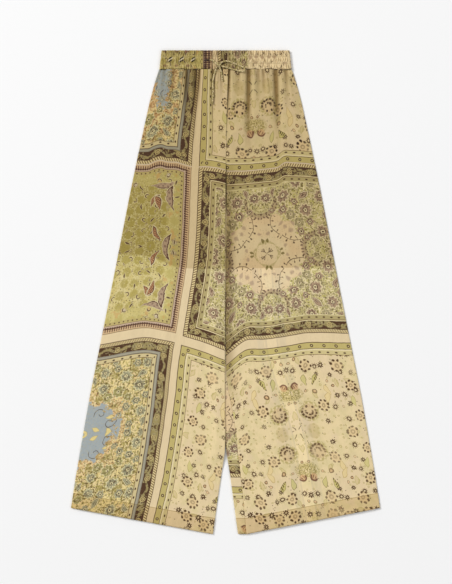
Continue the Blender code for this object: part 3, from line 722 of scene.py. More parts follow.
def print_group():
    """The node group: the cloth's measure in, the printed colour out."""
    tree, brought, given = node_group("patchwork print", [("Measure", "Vector")], [("Colour", "Color")])
    measure = brought[0]

    # A hand print's lines are never quite straight
    wobble = (grain(measure, 0.03, 1.0) - 0.5) * 0.0018
    s, t, _ = parts(measure)
    s, t = s + wobble, t + wobble
    column = ((s + STRIPE / 2) / (BLOCK + STRIPE)).math("FLOOR")
    dark_column = column.wrap(2.0).above(0.5, 0.01)
    x = (s + STRIPE / 2).wrap(BLOCK + STRIPE) - (STRIPE + BLOCK / 2)
    upper = t.below(0.0, 0.0001)
    lower = t.above(ROW_HEIGHT + ROW_STRIPE / 2, 0.0001)
    outer_row = upper + lower
    y = t - (upper * UPPER_MIDDLE + lower * LOWER_MIDDLE + (1.0 - outer_row) * (ROW_HEIGHT / 2))
    inside = ROW_HEIGHT / 2 - (t - ROW_HEIGHT / 2).size()
    across_x = x.size() + (grain(measure, 0.016, 1.0) - 0.5) * 0.0060
    across_y = y.size() + (grain(measure, 0.019, 1.0) - 0.5) * 0.0060
    quarter = point(across_x, across_y)
    spread = point(across_x + dark_column * 3.1 + outer_row * 1.7, across_y)
    near = scatter(spread, 0.0270)
    fine = scatter(spread, 0.0105, 0.2)
    dust = scatter(measure, 0.0062, 0.3)
    cells = scatter(quarter, 0.0270, 0.62)
    slip = (fine.radius - 0.0040) * 0.04
    across_x, across_y = across_x + slip, across_y - slip
    from_centre, round_centre = ray_of(across_x, across_y)
    blotch = grain(spread, 0.022, 3.0) + slip
    speck = grain(spread, 0.0050, 2.0) + slip
    fade = grain(measure, 0.070, 2.0) + slip
    grit = grain(measure, 0.0030, 1.0) + slip
    dark_dust = dust.radius.below(0.0013) * dust.chance.above(0.62, 0.01)
    light_dust = dust.radius.below(0.0013) * dust.kind.above(0.66, 0.01)
    sprig = leaf(fine, 0.0050, 0.0019)
    near_leaf = leaf(near, 0.0110, 0.0046)

    # How far inside its block's edge a point lies, and where along that edge
    edge_x = BLOCK / 2 - x.size() + slip
    edge_y = inside * (1.0 - outer_row * 2.0) - lower * ROW_STRIPE + slip
    edge = edge_x.least(edge_y)
    sides = edge_x.below(edge_y, 0.0001)
    along = y * sides + x * (1.0 - sides)

    cloth = Cloth(across_x, across_y, from_centre, round_centre, y, lower, edge, along, blotch, speck,
                  fade, grit, sprig, near_leaf, dark_dust, light_dust, near, fine, cells, dust)
    middle_row = 1.0 - outer_row
    colour = paint(tree, block(tree, "pale block", pale_block, cloth),
                   block(tree, "sage block", sage_block, cloth), middle_row)
    dark_colour = paint(tree, block(tree, "rich block", rich_block, cloth),
                        block(tree, "green block", green_block, cloth), middle_row)
    colour = paint(tree, colour, dark_colour, dark_column)
    colour = paint(tree, CREAM_STRIPE, colour, edge.above(0.0))
    colour = paint(tree, colour, ink(226, 206, 176), t.size().below(0.0013) * edge_x.above(0.0))
    tree.links.new(colour, given[0])
    return tree


patchwork = print_group()

THREAD = 0.0007                 # a warp and a weft thread


def weave_group():
    """Fine plain weave and the soft crinkle of washed voile, as a height."""
    tree, brought, given = node_group("voile weave", [("Measure", "Vector")],
                                      [("Height", "Float"), ("Slub", "Float")])
    measure = brought[0]
    s, t, _ = parts(measure)
    threads = s.wave(2 * math.pi / THREAD) * t.wave(2 * math.pi / THREAD)
    crinkle = grain(measure, 0.012, 3.0)
    stretched = node_of(tree, "VectorMath", operation="MULTIPLY")
    tree.links.new(measure, stretched.inputs[0])
    stretched.inputs[1].default_value = (1.0, 0.08, 1.0)
    slub = grain(stretched.outputs[0], 0.0012, 2.0)
    height = threads * 0.00006 + crinkle * 0.0011 + slub * 0.00005
    tree.links.new(height.socket, given[0])
    tree.links.new(slub.socket, given[1])
    return tree


weave = weave_group()

# The cloth's own attributes: how far a point lies above the lining's hem, from the leg's hem and
# from the stripe of the panel behind it, and how much painted shade it gets from lying deep in a fold, under
# the lap or in the shirring
SHADES = ("lining", "hem", "behind", "fold")
HEM_DEPTH = 0.0360              # the hem's turn-up
# What each does to the voile's colour
LINED = (0.775, 0.737, 0.655)
TURNED_UP = (0.850, 0.795, 0.700)
HEM_LINE = (0.62, 0.55, 0.42)
# Painted shade, multiplied in where the cloth lies deep in a fold, under the lap or in the shirring
PAINTED_FOLD_SHADE = (0.40, 0.33, 0.22)
BEHIND_BRIGHT = (1.10, 1.10, 1.10)
BEHIND_GREY = (0.93, 0.945, 0.99)


def layers_and_shade_group():
    """What lies behind the voile, and painted shade in its folds, as a colour to multiply it by: the short
    lining down to its own hem, the turned-up hem, the stripe and borders of the other panel that show
    through, and the painted shade."""
    tree, brought, given = node_group("layers behind and painted shade", [(shade, "Float") for shade in SHADES],
                                      [("Colour", "Color")])
    lining, hem, behind, fold = (Field(tree, brought[shade]) for shade in SHADES)
    lined = lining.above(0.0, 0.0012)
    seen = Coats(tree, (1.0, 1.0, 1.0))
    seen.stamp(behind.size(), 0.08, (
        (0.0, BEHIND_BRIGHT), (0.0108, BEHIND_GREY), (0.0150, (1.0, 1.0, 1.0)), (0.0190, BEHIND_GREY),
        (0.0330, None)), (1.0 - lined) * 0.9)
    seen.coat(LINED, lined, "MULTIPLY")
    seen.coat(TURNED_UP, hem.below(HEM_DEPTH, 0.0006), "MULTIPLY")
    seen.coat(HEM_LINE, hem.between(HEM_DEPTH - 0.0006, HEM_DEPTH + 0.0009), "MULTIPLY")
    seen.coat(PAINTED_FOLD_SHADE, fold.least(1.0), "MULTIPLY")
    tree.links.new(seen.colour, given[0])
    return tree


layers = layers_and_shade_group()


def new_material(name, **values):
    """A material with these values on its shader: it, its node tree and the shader's inputs."""
    material = bpy.data.materials.new(name)
    material.use_nodes = True
    inputs = material.node_tree.nodes["Principled BSDF"].inputs
    for socket, value in values.items():
        inputs[socket.replace("_", " ")].default_value = value
    return material, material.node_tree, inputs


def printed_cloth(name, motifs=None):
    """Printed voile, with what shows through it, painted shade in its folds, and any motifs of the piece's
    own.
    """
    material, tree, inputs = new_material(
        name, Sheen_Weight=0.10, Sheen_Roughness=0.45, Specular_IOR_Level=0.22)
    source = node_of(tree, "UVMap", uv_map="measure").outputs[0]
    pattern = node_of(tree, "Group", node_tree=patchwork)
    tree.links.new(source, pattern.inputs["Measure"])
    cloth = node_of(tree, "Group", node_tree=weave)
    tree.links.new(source, cloth.inputs["Measure"])
    slub = Field(tree, cloth.outputs["Slub"])
    # The layers behind, and the painted shade of folds, lap and shirring, from the cloth's attributes
    behind = node_of(tree, "Group", node_tree=layers)
    for slot, shade in zip(behind.inputs, SHADES):
        tree.links.new(node_of(tree, "Attribute", attribute_name=shade).outputs["Fac"], slot)
    printed = motifs(tree, pattern.outputs["Colour"], source) if motifs else pattern.outputs["Colour"]
    colour = paint(tree, printed, behind.outputs["Colour"], 1.0, "MULTIPLY")
    threads = node_of(tree, "VectorMath", operation="SCALE")
    tree.links.new(colour, threads.inputs[0])
    tree.links.new((slub * 0.16 + 0.92).socket, threads.inputs["Scale"])
    tree.links.new(threads.outputs[0], inputs["Base Color"])
    bump = node_of(tree, "Bump")
    bump.inputs["Strength"].default_value = 0.55
    bump.inputs["Distance"].default_value = 1.0
    tree.links.new(cloth.outputs["Height"], bump.inputs["Height"])
    tree.links.new(bump.outputs[0], inputs["Normal"])
    tree.links.new((slub * 0.16 + 0.70).socket, inputs["Roughness"])
    return material


# ---------------------------------------------------------------------------------------------
# Drawstring: a narrow tube of the printed voile, turned and pressed, that comes out of a buttonhole
# in the waistband and is tied in a half bow: one loop, one long tail and one short end.
# ---------------------------------------------------------------------------------------------
TIE_DIAMETER = 0.0040
LEAD_ROUTE = (
    (-0.0363, 0.5330, 0.0091), (-0.0329, 0.5332, 0.0091), (-0.0293, 0.5320, 0.0092),
    (-0.0253, 0.5282, 0.0094), (-0.0211, 0.5243, 0.0096),
)
LOOP_ROUTE = (
    (-0.0118, 0.5251, 0.0097), (-0.0061, 0.5288, 0.0094), (0.0024, 0.5304, 0.0093),
    (0.0119, 0.5282, 0.0093), (0.0219, 0.5242, 0.0093), (0.0319, 0.5202, 0.0094),
    (0.0409, 0.5158, 0.0098), (0.0447, 0.5108, 0.0108), (0.0414, 0.5068, 0.0117),
    (0.0329, 0.5072, 0.0114), (0.0229, 0.5098, 0.0112), (0.0119, 0.5128, 0.0101),
    (0.0009, 0.5160, 0.0096), (-0.0099, 0.5191, 0.0098),
)
TAIL_ROUTE = (
    (-0.0197, 0.5161, 0.0099), (-0.0223, 0.5100, 0.0107), (-0.0251, 0.5030, 0.0094),
    (-0.0273, 0.4940, 0.0084), (-0.0287, 0.4840, 0.0084), (-0.0291, 0.4730, 0.0086),
    (-0.0285, 0.4620, 0.0088), (-0.0288, 0.4510, 0.0088), (-0.0307, 0.4330, 0.0088),
)
END_ROUTE = (
    (-0.0136, 0.5157, 0.0098), (-0.0109, 0.5090, 0.0102), (-0.0091, 0.5020, 0.0093),
    (-0.0079, 0.4940, 0.0092), (-0.0073, 0.4850, 0.0094),
)
KNOT_CENTRE = Vector((-0.0161, 0.5210, 0.0101))


def smooth_route(route, step):
    """Points about a step apart on a smooth curve through the route's own points."""
    knots = [Vector(place) for place in route]
    knots = [knots[0] * 2 - knots[1]] + knots + [knots[-1] * 2 - knots[-2]]
    points = []
    for before, start, end, after in zip(knots, knots[1:], knots[2:], knots[3:]):
        count = max(1, round((end - start).length / step))
        for index in range(count):
            t = index / count
            points.append(0.5 * (2 * start + (end - before) * t
                                 + (2 * before - 5 * start + 4 * end - after) * t ** 2
                                 + (3 * start - before - 3 * end + after) * t ** 3))
    return points + [knots[-2]]


def route_length(points):
    return sum((b - a).length for a, b in zip(points, points[1:]))


def tie_cloth():
    """Narrow folds of the print: cream with olive patches and brown flecks."""
    material, tree, inputs = new_material("tie print", Roughness=0.78, Specular_IOR_Level=0.22)
    source = node_of(tree, "TexCoord").outputs["Object"]
    patches, flecks = grain(source, 0.0060, 1.0), grain(source, 0.0022, 2.0)
    folded = Coats(tree, ink(214, 195, 147))
    folded.coat(ink(170, 154, 96), patches.above(0.50, 0.04) * 0.85)
    folded.coat(ink(90, 66, 40), flecks.above(0.56, 0.03) * 0.80)
    tree.links.new(folded.colour, inputs["Base Color"])
    return material


tie_print = tie_cloth()


def tie_strand(name, node, route, diameter=TIE_DIAMETER):
    """One strand of the tie, its width and twist a little uneven, in place of a node."""
    curve = bpy.data.curves.new(name, "CURVE")
    curve.dimensions = "3D"
    curve.bevel_depth = diameter / 2
    curve.bevel_resolution = 4
    curve.use_fill_caps = True
    points = smooth_route(route, 0.0012)
    spline = curve.splines.new("POLY")
    spline.points.add(len(points) - 1)
    for index, (spline_point, place) in enumerate(zip(spline.points, points)):
        spline_point.co = (*place, 1.0)
        spline_point.radius = 0.97 + 0.10 * noise.noise(place * 160.0)
        spline_point.tilt = 0.06 * index
    curve.materials.append(tie_print)
    strand = in_scene(name, curve)
    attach(strand, "root")
    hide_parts(node)
    return strand, points


lead, _ = tie_strand("tie_lead", "drawstring_lead", LEAD_ROUTE)
loop, loop_points = tie_strand("tie_loop", "drawstring_loop", LOOP_ROUTE)
tail, tail_points = tie_strand("tie_tail", "drawstring_tail", TAIL_ROUTE)
short_end, end_points = tie_strand("tie_end", "drawstring_end", END_ROUTE)
# The knot: the tie goes once round itself, over a short core a little thicker than the tie
core, _ = tie_strand("tie_knot_core", "drawstring_knot", [KNOT_CENTRE + Vector(place) for place in (
    (-0.0050, 0.0024, -0.0006), (-0.0018, 0.0006, -0.0002), (0.0018, -0.0004, -0.0002),
    (0.0048, 0.0030, -0.0006))], 0.0046)
wrap, _ = tie_strand("tie_knot_wrap", "drawstring_knot", [KNOT_CENTRE + Vector(place) for place in (
    (0.0030, -0.0046, -0.0008), (0.0008, -0.0026, 0.0012), (-0.0008, 0.0004, 0.0020),
    (-0.0014, 0.0036, 0.0008), (-0.0016, 0.0050, -0.0010))], 0.0042)
tuple(loop_points[0])
route_length(loop_points)
tuple(tail_points[0])
route_length(tail_points)
tuple(end_points[0])
route_length(end_points)

# ---------------------------------------------------------------------------------------------
# Leg fronts: two wide panels of printed voile, gathered into the waistband and hanging in soft
# folds.  Each is pressed flat at its outseam and inseam, and its hem is turned up inside.
# ---------------------------------------------------------------------------------------------
LEG_TOP = 0.5120
OUTSEAM = 1.0075
INNER_DROP = 1.0675
SHELL = 0.0005                  # the voile's own thickness
WALL = 0.0012                   # the solids' walls, which set how the layers stack
HEM_WALL = 0.0018
SEAM_GAP = 0.0003
LAP_LIFT = 0.0048
LAP_RAMP = (-0.050, -0.018)
LAP_DROPS = (0.198, 0.925)      # the right leg laps over the left between these drops
LEGS_PART = 0.215               # drop from which the right leg's inner edge is pressed round
FOLD_STACK = 0.0042
WAIST_LOFT = 0.0056
LEG_LOFT = 0.0008
WAIST_LOFT_REACH = 0.22
EDGE_RISE = 0.024
BAND_LIFT = 0.0007
BAND_LIFT_REACH = 0.030
PRESS = 0.0030                  # how far in from a pressed edge the cloth is round

LegLine = namedtuple("LegLine", "drop half_width right_inner left_fold left_seam")
LEG_LINES = [LegLine(*row) for row in (
    (0.000, 0.1523, 0.0057, 0.0060, 0.0060), (0.024, 0.1605, 0.0051, 0.0054, 0.0054),
    (0.070, 0.1731, 0.0039, 0.0042, 0.0042), (0.116, 0.1835, 0.0027, 0.0030, 0.0030),
    (0.185, 0.1986, 0.0015, 0.0018, 0.0018), (0.232, 0.2085, 0.0007, 0.0010, 0.0010),
    (0.300, 0.2224, -0.0003, -0.0050, 0.0030), (0.400, 0.2419, -0.0008, -0.0090, 0.0019),
    (0.530, 0.2676, -0.0011, -0.0120, -0.0001), (0.668, 0.2954, -0.0011, -0.0120, 0.0009),
    (0.725, 0.3067, -0.0011, -0.0110, 0.0045), (0.753, 0.3122, -0.0011, -0.0095, 0.0104),
    (0.800, 0.3207, -0.0009, -0.0065, 0.0189), (0.842, 0.3281, -0.0006, -0.0028, 0.0250),
    (0.880, 0.3346, -0.0020, 0.0022, 0.0283), (0.934, 0.3439, -0.0100, 0.0106, 0.0352),
    (1.000, 0.3540, -0.0198, 0.0195, 0.0421), (1.068, 0.3640, -0.0287, 0.0288, 0.0481),
)]

Valley = namedtuple("Valley", "x drift reach depth half_width")
RIGHT_FRONT_VALLEYS = [Valley(*row) for row in (
    (-0.139, -0.012, 0.085, 0.0024, 0.0045), (-0.118, -0.014, 0.150, 0.0032, 0.0055),
    (-0.089, -0.006, 0.190, 0.0046, 0.0055), (-0.068, -0.006, 0.230, 0.0046, 0.0045),
    (-0.0588, -0.006, 0.125, 0.0044, 0.0036), (-0.028, -0.003, 0.140, 0.0040, 0.0050),
    (-0.009, 0.002, 0.100, 0.0028, 0.0040),
)]
LEFT_FRONT_VALLEYS = [Valley(*row) for row in (
    (0.008, -0.006, 0.190, 0.0048, 0.0045), (0.030, 0.002, 0.095, 0.0024, 0.0050),
    (0.053, -0.001, 0.260, 0.0056, 0.0055), (0.075, 0.003, 0.120, 0.0028, 0.0050),
    (0.087, 0.003, 0.100, 0.0028, 0.0040), (0.115, 0.008, 0.230, 0.0056, 0.0060),
    (0.138, 0.008, 0.120, 0.0034, 0.0050),
)]
BACK_RIDGES = [Valley(*row) for row in (
    (-0.120, -0.014, 0.150, 0.0010, 0.006), (-0.091, -0.010, 0.230, 0.0013, 0.006),
    (-0.062, -0.006, 0.130, 0.0010, 0.005), (-0.034, -0.004, 0.200, 0.0012, 0.006),
    (0.034, 0.004, 0.180, 0.0012, 0.006), (0.063, 0.008, 0.140, 0.0010, 0.005),
    (0.094, 0.010, 0.240, 0.0013, 0.006), (0.122, 0.014, 0.150, 0.0010, 0.006),
)]
LongFold = namedtuple("LongFold", "top_x foot_x start end height half_width")
LONG_FOLDS = [LongFold(*row) for row in (
    (-0.155, -0.250, 0.12, 0.85, 0.0010, 0.016), (-0.105, -0.165, 0.14, 1.00, 0.0012, 0.018),
    (-0.045, -0.085, 0.20, 0.95, 0.0010, 0.016), (0.072, 0.105, 0.16, 0.90, 0.0013, 0.018),
    (0.128, 0.190, 0.15, 1.00, 0.0011, 0.018), (0.160, 0.275, 0.14, 0.90, 0.0010, 0.016),
)]
# Where the print lies on the fronts: the middle of the cream stripe on the right leg, the middle of
# the blocks on the left one, and the drop of the two lines between the rows of blocks
STRIPE_LINE = ((0.005, -0.0552), (0.092, -0.0609), (0.184, -0.0673), (0.270, -0.0715), (0.380, -0.0756),
               (0.454, -0.0816), (0.527, -0.0931), (0.600, -0.1046), (0.674, -0.1161), (0.766, -0.1262),
               (0.858, -0.1391), (0.950, -0.1545), (1.024, -0.1713), (1.073, -0.1816))
AXIS_LINE = ((0.005, 0.0610), (0.118, 0.0679), (0.337, 0.0817), (0.423, 0.0955), (0.520, 0.1070),
             (0.741, 0.1484), (0.835, 0.1668), (0.931, 0.1898), (1.035, 0.2059), (1.073, 0.2128))
RIGHT_FIRST_ROW = ((-0.2196, 0.2179), (-0.1782, 0.2179), (-0.1644, 0.2121), (-0.1495, 0.2085),
                   (-0.1345, 0.2121), (-0.1126, 0.2135), (-0.0977, 0.2179), (-0.0770, 0.2232),
                   (-0.0609, 0.2237), (-0.0471, 0.2232), (-0.0172, 0.2269), (0.0058, 0.2328))
LEFT_FIRST_ROW = ((0.0028, 0.2333), (0.0426, 0.2333), (0.0840, 0.2296), (0.1194, 0.2246),
                  (0.1323, 0.2158), (0.1415, 0.2135), (0.2036, 0.2179), (0.2404, 0.2191))
RIGHT_SECOND_ROW = ((-0.3116, 0.6135), (-0.2817, 0.6101), (-0.2012, 0.5953), (-0.1713, 0.5953),
                    (-0.1184, 0.6054), (-0.0977, 0.6123), (-0.0471, 0.6284), (-0.0011, 0.6459))
LEFT_SECOND_ROW = ((-0.0011, 0.6600), (0.0449, 0.6238), (0.0886, 0.6206), (0.1383, 0.6137),
                   (0.1921, 0.6054), (0.2795, 0.6068))

# The stripe of the left back, and the drop of the short lining's hem across both legs
BACK_STRIPE_LINE = ((0.40, 0.0935), (0.495, 0.0955), (0.633, 0.1070), (0.690, 0.1200), (0.840, 0.1670),
                    (0.990, 0.1920), (1.070, 0.2040))
LINING_HEM = ((-0.240, 0.4260), (-0.192, 0.4270), (-0.151, 0.4370), (-0.128, 0.4490), (-0.086, 0.4570),
              (0.010, 0.4570), (0.120, 0.4560), (0.245, 0.4530))
LAP_SHADE = (LEGS_PART, 0.760)  # drops between which the lap shades the left leg


def smooth(share):
    share = min(max(share, 0.0), 1.0)
    return share * share * (3.0 - 2.0 * share)


def on_curve(rows, at, column=1):
    """A column of a table at a value of its first column, on a smooth curve through its rows."""
    above = 0
    while above < len(rows) - 2 and rows[above + 1][0] < at:
        above += 1
    picked = [rows[min(max(i, 0), len(rows) - 1)] for i in range(above - 1, above + 3)]
    span = picked[2][0] - picked[1][0]
    share = min(max((at - picked[1][0]) / span, 0.0), 1.0)
    start_slope = (picked[2][column] - picked[0][column]) / (picked[2][0] - picked[0][0])
    end_slope = (picked[3][column] - picked[1][column]) / (picked[3][0] - picked[1][0])
    square, cube = share * share, share * share * share
    return ((2 * cube - 3 * square + 1) * picked[1][column] + (cube - 2 * square + share) * span * start_slope
            + (3 * square - 2 * cube) * picked[2][column] + (cube - square) * span * end_slope)


def leg_line(drop, name):
    return on_curve(LEG_LINES, drop, LegLine._fields.index(name))


def wall_at(hem_distance):
    step = smooth((HEM_DEPTH - hem_distance) / 0.004 + 0.5)
    return WALL + (HEM_WALL - WALL) * step


def valleys_at(valleys, x, drop):
    depth = 0.0
    for valley in valleys:
        down = drop / valley.reach
        if down < 1.0:
            spread = valley.half_width * (1.0 + 0.6 * down)
            offset = (x - valley.x - valley.drift * down) / spread
            if abs(offset) < 3.0:
                depth += valley.depth * smooth(1.0 - down) * math.exp(-offset * offset)
    return depth


def long_folds_at(x, drop):
    height = 0.0
    for fold in LONG_FOLDS:
        share = (drop - fold.start) / (fold.end - fold.start)
        if 0.0 < share < 1.0:
            middle = fold.top_x + (fold.foot_x - fold.top_x) * share
            height += (fold.height * math.sin(math.pi * share) ** 0.7
                       * math.exp(-((x - middle) / fold.half_width) ** 2))
    return height


def lap_lift(x, drop):
    along = smooth((drop - LAP_DROPS[0]) / 0.036) * smooth((LAP_DROPS[1] - drop) / 0.060)
    return LAP_LIFT * along * smooth((x - LAP_RAMP[0]) / (LAP_RAMP[1] - LAP_RAMP[0]))


def fine_gathers(seed, start, end):
    """Small pleats that the elastic makes in a panel's top edge, uneven in width and reach."""
    pleats = []
    x = start
    count = 0
    while x < end:
        chance = [noise.cell(Vector((seed + count * 1.7, index, 0.5))) for index in range(4)]
        pleats.append(Valley(x, 0.0, 0.022 + 0.075 * chance[0] ** 2, 0.0008 + 0.0012 * chance[1],
                             0.0014 + 0.0012 * chance[2]))
        x += 0.0042 + 0.0052 * chance[3]
        count += 1
    return pleats


FINE = {-1: fine_gathers(3.0, -0.150, 0.004), 1: fine_gathers(9.0, 0.010, 0.150)}


def back_height(side, x, drop):
    height = BAND_LIFT * smooth(1.0 - drop / BAND_LIFT_REACH) + valleys_at(BACK_RIDGES, x, drop)
    if side < 0:
        height += lap_lift(x, drop)
    return height


def stack_height(side, drop, from_inner, hem_distance):
    stack = 2 * wall_at(hem_distance) + SEAM_GAP
    if side > 0:
        inner_stack = max(FOLD_STACK * smooth((drop - 0.150) / 0.080), stack)
        stack += (inner_stack - stack) * smooth(1.0 - from_inner / EDGE_RISE)
    return stack


def pressed(distance):
    """1 on a pressed edge, falling to 0 in a quarter circle just inside it."""
    if distance >= PRESS:
        return 0.0
    return 1.0 - math.sqrt(1.0 - (1.0 - max(distance, 0.0) / PRESS) ** 2)


def front_relief(side, x, drop, from_outseam, from_inner):
    """How far a front stands above the layers under it, and how much painted shade it gets from lying deep in
    a fold.
    """
    loft = LEG_LOFT + (WAIST_LOFT - LEG_LOFT) * smooth(1.0 - drop / WAIST_LOFT_REACH)
    rise = smooth(from_outseam / EDGE_RISE)
    if drop > 0.2:
        rise *= smooth(from_inner / EDGE_RISE)
    width = leg_line(drop, "half_width") / 0.153
    gathered = valleys_at(FINE[side], x / width, drop)
    valleys = RIGHT_FRONT_VALLEYS if side < 0 else LEFT_FRONT_VALLEYS
    deep = valleys_at(valleys, x, drop)
    crease = 0.0005 * noise.noise(Vector((x * 34.0, drop * 7.0, side * 3.1)))
    crease += 0.0004 * noise.noise(Vector((x * 90.0, drop * 26.0, side * 1.7))) * smooth(drop / 0.1)
    relief = (loft + long_folds_at(x, drop) + crease) * rise - deep - gathered * 0.8
    # Painted shade: the deeper the point lies in a valley or a small gather, the darker
    shade = (deep / 0.0042) ** 1.5 + gathered / 0.0042 * smooth(0.25 + drop / 0.030)
    return max(relief, SEAM_GAP * rise), min(1.0, shade)


# How far in from a pressed edge a panel's first columns of points lie; the rest are evenly spread
EDGE_COLUMNS = (0.0, 0.0003, 0.0008, 0.0015, 0.0024, 0.0036, 0.0055)
FRONT_COLUMNS = 132
FRONT_ROWS = 300


def across_leg(column, columns, width):
    """Distance of a column of points from the outseam, across a leg of the given width."""
    last = len(EDGE_COLUMNS) - 1
    if column <= last:
        return EDGE_COLUMNS[column]
    if column >= columns - last:
        return width - EDGE_COLUMNS[columns - column]
    share = (column - last) / (columns - 2 * last)
    return EDGE_COLUMNS[last] + (width - 2 * EDGE_COLUMNS[last]) * share


def panel_grid(columns, rows, place):
    """A grid of points.  place(column, down) gives each point, its print measure and its shades."""
    bm = bmesh.new()
    bmesh.ops.create_grid(bm, x_segments=columns, y_segments=rows, size=0.5)
    measure = bm.loops.layers.uv.new("measure")
    layers_of_shade = [bm.verts.layers.float.new(shade) for shade in SHADES]
    measures = {}
    for vert in bm.verts:
        down = 0.5 - vert.co.y
        vert.co, measures[vert], shades = place(round((vert.co.x + 0.5) * columns), down)
        for layer, shade in zip(layers_of_shade, shades):
            vert[layer] = shade
    for face in bm.faces:
        for corner in face.loops:
            corner[measure].uv = measures[corner.vert]
    return bm


def cloth_piece(node, bm, facing=None, thickness=SHELL, motifs=None):
    """A thin shell of printed cloth from the grid of its outer face, in place of a node."""
    name = node + "_cloth"
    bm.normal_update()
    if facing is not None:
        mean = sum((face.normal * face.calc_area() for face in bm.faces), Vector())
        if mean.dot(facing) < 0:
            bmesh.ops.reverse_faces(bm, faces=bm.faces)
    mesh = bpy.data.meshes.new(name)
    bm.to_mesh(mesh)
    bm.free()
    mesh.shade_smooth()
    mesh.materials.append(printed_cloth(node.replace("_", " ") + " print", motifs))
    piece = in_scene(name, mesh)
    solidify = piece.modifiers.new("cloth", "SOLIDIFY")
    solidify.thickness = thickness
    solidify.offset = -1.0
    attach(piece, "root")
    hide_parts(node)
    return piece


def front_measure(side, x, drop):
    """The print's own coordinates at a point of a front."""
    gathered = 1.0 + 0.16 * smooth(1.0 - drop / 0.20)
    if side < 0:
        s = (x - on_curve(STRIPE_LINE, drop)) * gathered
        s += 0.0055 * smooth(1.0 - drop / 0.17) * math.tanh(s / 0.0055)
        first, second = on_curve(RIGHT_FIRST_ROW, x), on_curve(RIGHT_SECOND_ROW, x)
    else:
        s = STRIPE / 2 + BLOCK / 2 + (x - on_curve(AXIS_LINE, drop)) * gathered
        first, second = on_curve(LEFT_FIRST_ROW, x), on_curve(LEFT_SECOND_ROW, x)
    if drop < first:
        return s, drop - first
    if drop < second:
        return s, ROW_HEIGHT * (drop - first) / (second - first)
    return s, ROW_HEIGHT + drop - second


def lining_at(x, drop):
    """How far above the lining's own hem a point lies."""
    return on_curve(LINING_HEM, x) - drop


def behind_at(side, drop):
    """Where the other panel's cream stripe shows through."""
    return 1.0 if side < 0 else on_curve(BACK_STRIPE_LINE, drop)


def leg_place(side, inner, column, columns, down):
    """Where a point of a panel's grid lies: crosswise, down from the waist, and from its edges."""
    outer_drop, inner_drop = OUTSEAM * down, INNER_DROP * down
    outer_x = side * leg_line(outer_drop, "half_width")
    width = abs(leg_line(inner_drop, inner) - outer_x)
    from_outseam = across_leg(column, columns, width)
    drop = outer_drop + (inner_drop - outer_drop) * from_outseam / width
    return outer_x - side * from_outseam, drop, from_outseam, width - from_outseam


def front_panel(node, side):
    inner = "right_inner" if side < 0 else "left_seam"

    def place(column, down):
        x, drop, from_outseam, from_inner = leg_place(side, inner, column, FRONT_COLUMNS, down)
        relief, fold = front_relief(side, x, drop, from_outseam, from_inner)
        stack = stack_height(side, drop, from_inner, (1.0 - down) * INNER_DROP)
        z = back_height(side, x, drop) + stack + relief
        z -= pressed(from_outseam) * (stack / 2 - 0.0001)
        if side < 0:
            z -= pressed(from_inner) * (stack / 2 - 0.0001) * smooth((drop - LEGS_PART) / 0.03)
            z -= pressed(from_inner) * 0.0004 * smooth((0.235 - drop) / 0.03)
        else:
            z -= pressed(from_inner) * (0.0004 + 0.0005 * smooth((drop - 0.205) / 0.03))
        # Painted shadow of the right leg's lapped edge, on the left leg beside its inner edge
        if side > 0 and LAP_SHADE[0] < drop < LAP_SHADE[1]:
            fold += 0.85 * smooth(1.0 - from_inner / 0.030) * math.sin(
                math.pi * (drop - LAP_SHADE[0]) / (LAP_SHADE[1] - LAP_SHADE[0])) ** 0.5
        shades = (lining_at(x, drop), (1.0 - down) * INNER_DROP, x - behind_at(side, drop), fold)
        return Vector((x, LEG_TOP - drop, z)), front_measure(side, x, drop), shades

    return cloth_piece(node, panel_grid(FRONT_COLUMNS, FRONT_ROWS, place), Vector((0, 0, 1)))


right_front = front_panel("right_front", -1)
left_front = front_panel("left_front", 1)

# ---------------------------------------------------------------------------------------------
# Leg backs: two panels like the fronts, which lie on the surface.  The left one is wider at the
# knee and below, and rolls round the leg's inner edge to a seam that shows on top.
# ---------------------------------------------------------------------------------------------
BACK_COLUMNS = 84
BACK_ROWS = 220
STRIP_COLUMNS = 40
FOLD_START = 0.240
FOLD_TAPER = 0.100
BACK_PRINT_DROP = {-1: 0.300, 1: 0.328}   # the back's rows lie this much lower than the front's


def back_measure(side, x, drop):
    t = drop - 0.222 - BACK_PRINT_DROP[side]
    if side < 0:
        return STRIPE / 2 + BLOCK / 2 - x - on_curve(AXIS_LINE, drop), t
    return on_curve(BACK_STRIPE_LINE, drop) - x, t


def back_shades(x, drop, down):
    # Painted shade in the valleys between the backs' ridges
    fold = min(0.5, valleys_at(BACK_RIDGES, x, drop) / 0.003)
    return lining_at(x, drop), (1.0 - down) * INNER_DROP, 1.0, fold


def right_back_place(column, down):
    x, drop, from_outseam, from_inner = leg_place(-1, "right_inner", column, BACK_COLUMNS, down)
    half = wall_at((1.0 - down) * INNER_DROP)
    z = back_height(-1, x, drop) + pressed(from_outseam) * half
    z += pressed(from_inner) * half * smooth((drop - LEGS_PART) / 0.03)
    return Vector((x, LEG_TOP - drop, z)), back_measure(-1, x, drop), back_shades(x, drop, down)


right_back = cloth_piece("right_back", panel_grid(BACK_COLUMNS, BACK_ROWS, right_back_place),
                         Vector((0, 0, -1)))


def fold_over(run, bend_x, base):
    """Place of a point that lies run past the bend's start: round the half circle, then on top."""
    radius = FOLD_STACK / 2
    half_turn = math.pi * radius
    if run <= 0:
        return bend_x - run, base
    if run < half_turn:
        angle = run / radius
        return bend_x - radius * math.sin(angle), base + radius * (1 - math.cos(angle))
    return bend_x + run - half_turn, base + FOLD_STACK


